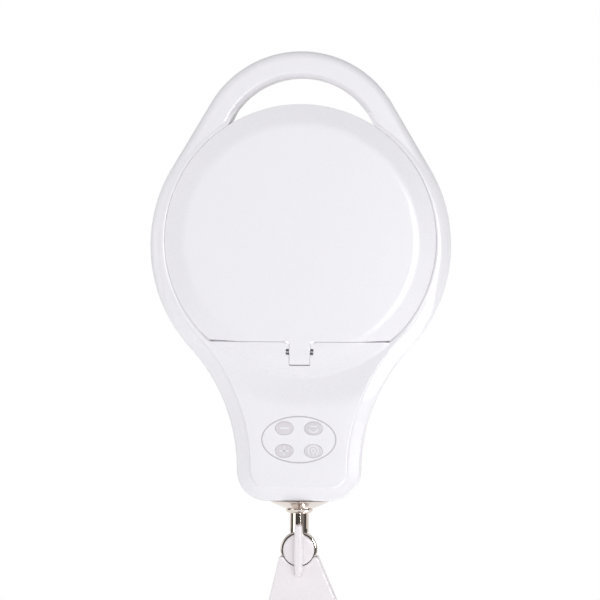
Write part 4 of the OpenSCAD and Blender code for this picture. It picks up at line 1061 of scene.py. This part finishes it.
def caps():
    """Ribbed end caps of the turning bar."""
    low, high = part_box("tommy_caps")
    z, reach = (low.z + high.z) / 2 / MM, high.x / MM
    pieces = []
    for side in (-1, 1):
        inward = Matrix.Rotation(-side * math.pi / 2, 4, "Y")
        place = IN_WORLD @ Matrix.Translation((side * reach, 0, z)) @ inward
        profile = [(0, 0), (3.9, 0), (4.7, 0.4), (CAP_R, 1.0)]
        for k in range(3):
            step = 2.0 + 1.6 * k
            profile += [(CAP_R, step), (4.55, step + 0.3), (4.55, step + 0.7), (CAP_R, step + 1.0)]
        profile += [(CAP_R, 7.4), (4.5, 8.0), (3.02, 8.0), (3.02, 2.2), (0, 2.2)]
        pieces.append(turned("cap", profile, place, 48))
    stand_for(join("tommy_cap_ribs", pieces), "tommy_caps")


def pads():
    """Rubber pads with grooves on their gripping faces."""
    low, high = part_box("jaw_pad")
    low, high = low / MM, high / MM
    pad = block("jaw_pad_grooved", low, high, IN_WORLD)
    count = 9
    for k in range(1, count):
        x = low.x + (high.x - low.x) * k / count
        cut(pad, block("groove", (x - 0.5, low.y - 1, -1), (x + 0.5, high.y + 1, 0.7), IN_WORLD))
    soften(pad, voxel=0.3, passes=2, keep=0.4)
    stand_for(pad, "jaw_pad")
    low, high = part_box("foot_pad")
    r, z0, z1 = (high.x - low.x) / 2 / MM, low.z / MM, high.z / MM
    profile = [(0, z0), (r - 0.3, z0), (r, z0 + 0.3), (r, z1 - 0.5), (r - 0.5, z1)]
    for k in range(4):
        step = r - 2.0 - 2.8 * k
        profile += [(step, z1), (step - 0.25, z1 - 0.7), (step - 0.75, z1 - 0.7), (step - 1.0, z1)]
    stand_for(turned("foot_pad_grooved", profile + [(0, z1)], IN_WORLD, 64), "foot_pad")


front_shell()
rear_shell()
cover()
touch_marks()
stem_metal()
knob()
arm_pins()
springs("lower", 0, BASE_Z, -1, -LEAN)
springs("upper", ELBOW_X, CROOK_Z, 1, LEAN)
small_screws()
lens()
inlet()
thread()
caps()
pads()
# The brackets take the pinkish copy of the white plastic, which is painted warm light from the lower right.
for node in ("bracket_front", "bracket_rear"):
    moulded(node, voxel=0.35, passes=5, keep=0.35).data.materials[0] = LOOK["painted_warm_light_plastic"]
for node in ("elbow_front", "elbow_rear", "base_front", "base_rear"):
    moulded(node, voxel=0.5, passes=5, keep=0.35)
moulded("clamp_frame", voxel=0.7, passes=6, keep=0.4)
for node in ("lower_main_bar", "lower_link_bar", "upper_main_bar", "upper_link_bar"):
    edged(node, 0.9)
for node, obj in frame["nodes"].items():
    if not obj.hide_render and not obj.modifiers:
        edged(node, 0.25)


# Camera, light and floor

AIM = HEAD + Vector((0.0002, -0.018, -0.035))
FRAME_WIDTH = 0.3498
CAMERA_FAR = 2.5
AZIMUTH = math.radians(2.0)
ROLL = math.radians(0.4)
AROUND = [
    (-180, 1.0), (-122, 0.9), (-113, 0.08), (-84, 0.08), (-77, 1.0), (-50, 1.0), (-45, 0.07),
    (8, 0.09), (16, 0.24), (60, 0.26), (70, 0.08), (96, 0.08), (104, 0.9),
]
FILL = (0.5, 0.5, 0.505, 1)
ABOVE = (0.6, 0.6, 0.605, 1)
BELOW = (0.95, 0.93, 0.91, 1)
WHITE = (1, 1, 1, 1)
FLOOR_R = 2.4
FLOOR_PALE = 0.72


def set_camera():
    camera = bpy.data.objects.new("camera", bpy.data.cameras.new("camera"))
    bpy.context.scene.collection.objects.link(camera)
    camera.location = AIM + CAMERA_FAR * Vector((math.sin(AZIMUTH), -math.cos(AZIMUTH), 0))
    look = (AIM - camera.location).to_track_quat("-Z", "Y") @ Quaternion((0, 0, 1), ROLL)
    camera.rotation_euler = look.to_euler()
    camera.data.angle = 2 * math.atan(FRAME_WIDTH / 2 / CAMERA_FAR)
    bpy.context.scene.camera = camera


def soft_light(name, azimuth, height, far, size, watts, fill=False, shine=False):
    """Soft light at an azimuth and elevation from the head, that fills, shines or both."""
    a, h = math.radians(azimuth), math.radians(height)
    lamp = bpy.data.lights.new(name, "AREA")
    lamp.shape = "RECTANGLE"
    lamp.size, lamp.size_y = size
    lamp.energy = watts
    obj = bpy.data.objects.new(name, lamp)
    bpy.context.scene.collection.objects.link(obj)
    obj.visible_diffuse = fill
    obj.visible_glossy = shine
    obj.visible_camera = False
    way = Vector((math.sin(a) * math.cos(h), -math.cos(a) * math.cos(h), math.sin(h)))
    obj.location = HEAD + far * way
    obj.rotation_euler = (HEAD - obj.location).to_track_quat("-Z", "Y").to_euler()


def set_lights():
    soft_light("front", azimuth=2, height=3, far=2.4, size=(2.4, 1.2), watts=25.0, fill=True)
    soft_light("key", azimuth=16, height=-4, far=1.2, size=(0.17, 0.22), watts=6.0, shine=True)
    soft_light("right", azimuth=72, height=18, far=1.6, size=(0.8, 0.8), watts=0.8, fill=True)
    soft_light("left", azimuth=-62, height=4, far=1.6, size=(0.8, 0.8), watts=2.6, fill=True, shine=True)
    soft_light("back", azimuth=180, height=22, far=2.4, size=(2.0, 1.4), watts=18.0, fill=True)
    soft_light("low", azimuth=80, height=-50, far=0.85, size=(0.28, 0.28), watts=2.0, fill=True, shine=True)


def math_node(nodes, links, operation, first, second):
    """A math node on two inputs, each a socket or a number."""
    node = nodes.new("ShaderNodeMath")
    node.operation = operation
    for socket, value in zip(node.inputs, (first, second)):
        if isinstance(value, float):
            socket.default_value = value
        else:
            links.new(value, socket)
    return node.outputs["Value"]


def span(nodes, links, value, low, high, start=0.0):
    """Runs from a start value to 1 while an input goes from low to high."""
    node = nodes.new("ShaderNodeMapRange")
    node.inputs["From Min"].default_value = low
    node.inputs["From Max"].default_value = high
    node.inputs["To Min"].default_value = start
    links.new(value, node.inputs["Value"])
    return node.outputs["Result"]


def mix(nodes, links, factor, first, second):
    """A colour mix of two inputs, each a socket or a colour."""
    node = nodes.new("ShaderNodeMix")
    node.data_type = "RGBA"
    links.new(factor, node.inputs["Factor"])
    for key, value in (("A", first), ("B", second)):
        if isinstance(value, tuple):
            node.inputs[key].default_value = value
        else:
            links.new(value, node.inputs[key])
    return node.outputs["Result"]


def set_world():
    """White behind the object; even light for fill, and light and dark sides for shine to show."""
    world = bpy.data.worlds.new("studio")
    bpy.context.scene.world = world
    world.use_nodes = True
    nodes, links = world.node_tree.nodes, world.node_tree.links
    place = nodes.new("ShaderNodeTexCoord")
    split = nodes.new("ShaderNodeSeparateXYZ")
    links.new(place.outputs["Generated"], split.inputs["Vector"])
    front = math_node(nodes, links, "MULTIPLY", split.outputs["Y"], -1.0)
    turn = math_node(nodes, links, "ARCTAN2", split.outputs["X"], front)
    sides = nodes.new("ShaderNodeValToRGB")
    ramp = sides.color_ramp
    while len(ramp.elements) < len(AROUND):
        ramp.elements.new(1.0)
    for element, (angle, level) in zip(ramp.elements, AROUND):
        element.position = (angle + 180) / 360
        element.color = (level, level * 0.97, level * 0.93, 1)
    links.new(span(nodes, links, turn, -math.pi, math.pi), sides.inputs["Fac"])
    below = span(nodes, links, split.outputs["Z"], -0.2, -0.4)
    above = span(nodes, links, split.outputs["Z"], 0.06, 0.26)
    shown = mix(nodes, links, below, sides.outputs["Color"], BELOW)
    shown = mix(nodes, links, above, shown, ABOVE)
    rays = nodes.new("ShaderNodeLightPath").outputs
    shown = mix(nodes, links, rays["Is Glossy Ray"], FILL, shown)
    clear = math_node(nodes, links, "MAXIMUM", rays["Is Camera Ray"], rays["Is Transmission Ray"])
    links.new(mix(nodes, links, clear, shown, WHITE), nodes["Background"].inputs["Color"])


def set_floor():
    """Pale floor with the object's shadow, white in the distance and in shine and glass."""
    material, nodes, links, out = shader("floor")
    cloud = noise(nodes, links, 3.0)
    colour = tint(nodes, links, cloud, (0.86, 0.86, 0.86), (0.89, 0.89, 0.89))
    links.new(colour, out.inputs["Base Color"])
    out.inputs["Roughness"].default_value = 0.8
    white = nodes.new("ShaderNodeEmission")
    rays = nodes.new("ShaderNodeLightPath").outputs
    place = nodes.new("ShaderNodeTexCoord")
    far = nodes.new("ShaderNodeVectorMath")
    far.operation = "LENGTH"
    links.new(place.outputs["Object"], far.inputs[0])
    fade = span(nodes, links, far.outputs["Value"], 0.3, 1.5, FLOOR_PALE)
    pale = math_node(nodes, links, "MULTIPLY", rays["Is Camera Ray"], fade)
    shine = math_node(nodes, links, "MAXIMUM", rays["Is Glossy Ray"], rays["Is Transmission Ray"])
    seen = nodes.new("ShaderNodeMixShader")
    links.new(math_node(nodes, links, "MAXIMUM", shine, pale), seen.inputs["Fac"])
    links.new(out.outputs["BSDF"], seen.inputs[1])
    links.new(white.outputs["Emission"], seen.inputs[2])
    links.new(seen.outputs["Shader"], nodes["Material Output"].inputs["Surface"])
    level = cad_low.z - 0.002
    floor = prism("floor", arc(0, 0, FLOOR_R, 0, 360, 96, 1), level - 0.01, level, Matrix.Identity(4))
    floor.data.materials.append(material)


set_camera()
set_lights()
set_world()
set_floor()
bpy.context.scene.view_settings.view_transform = "Standard"
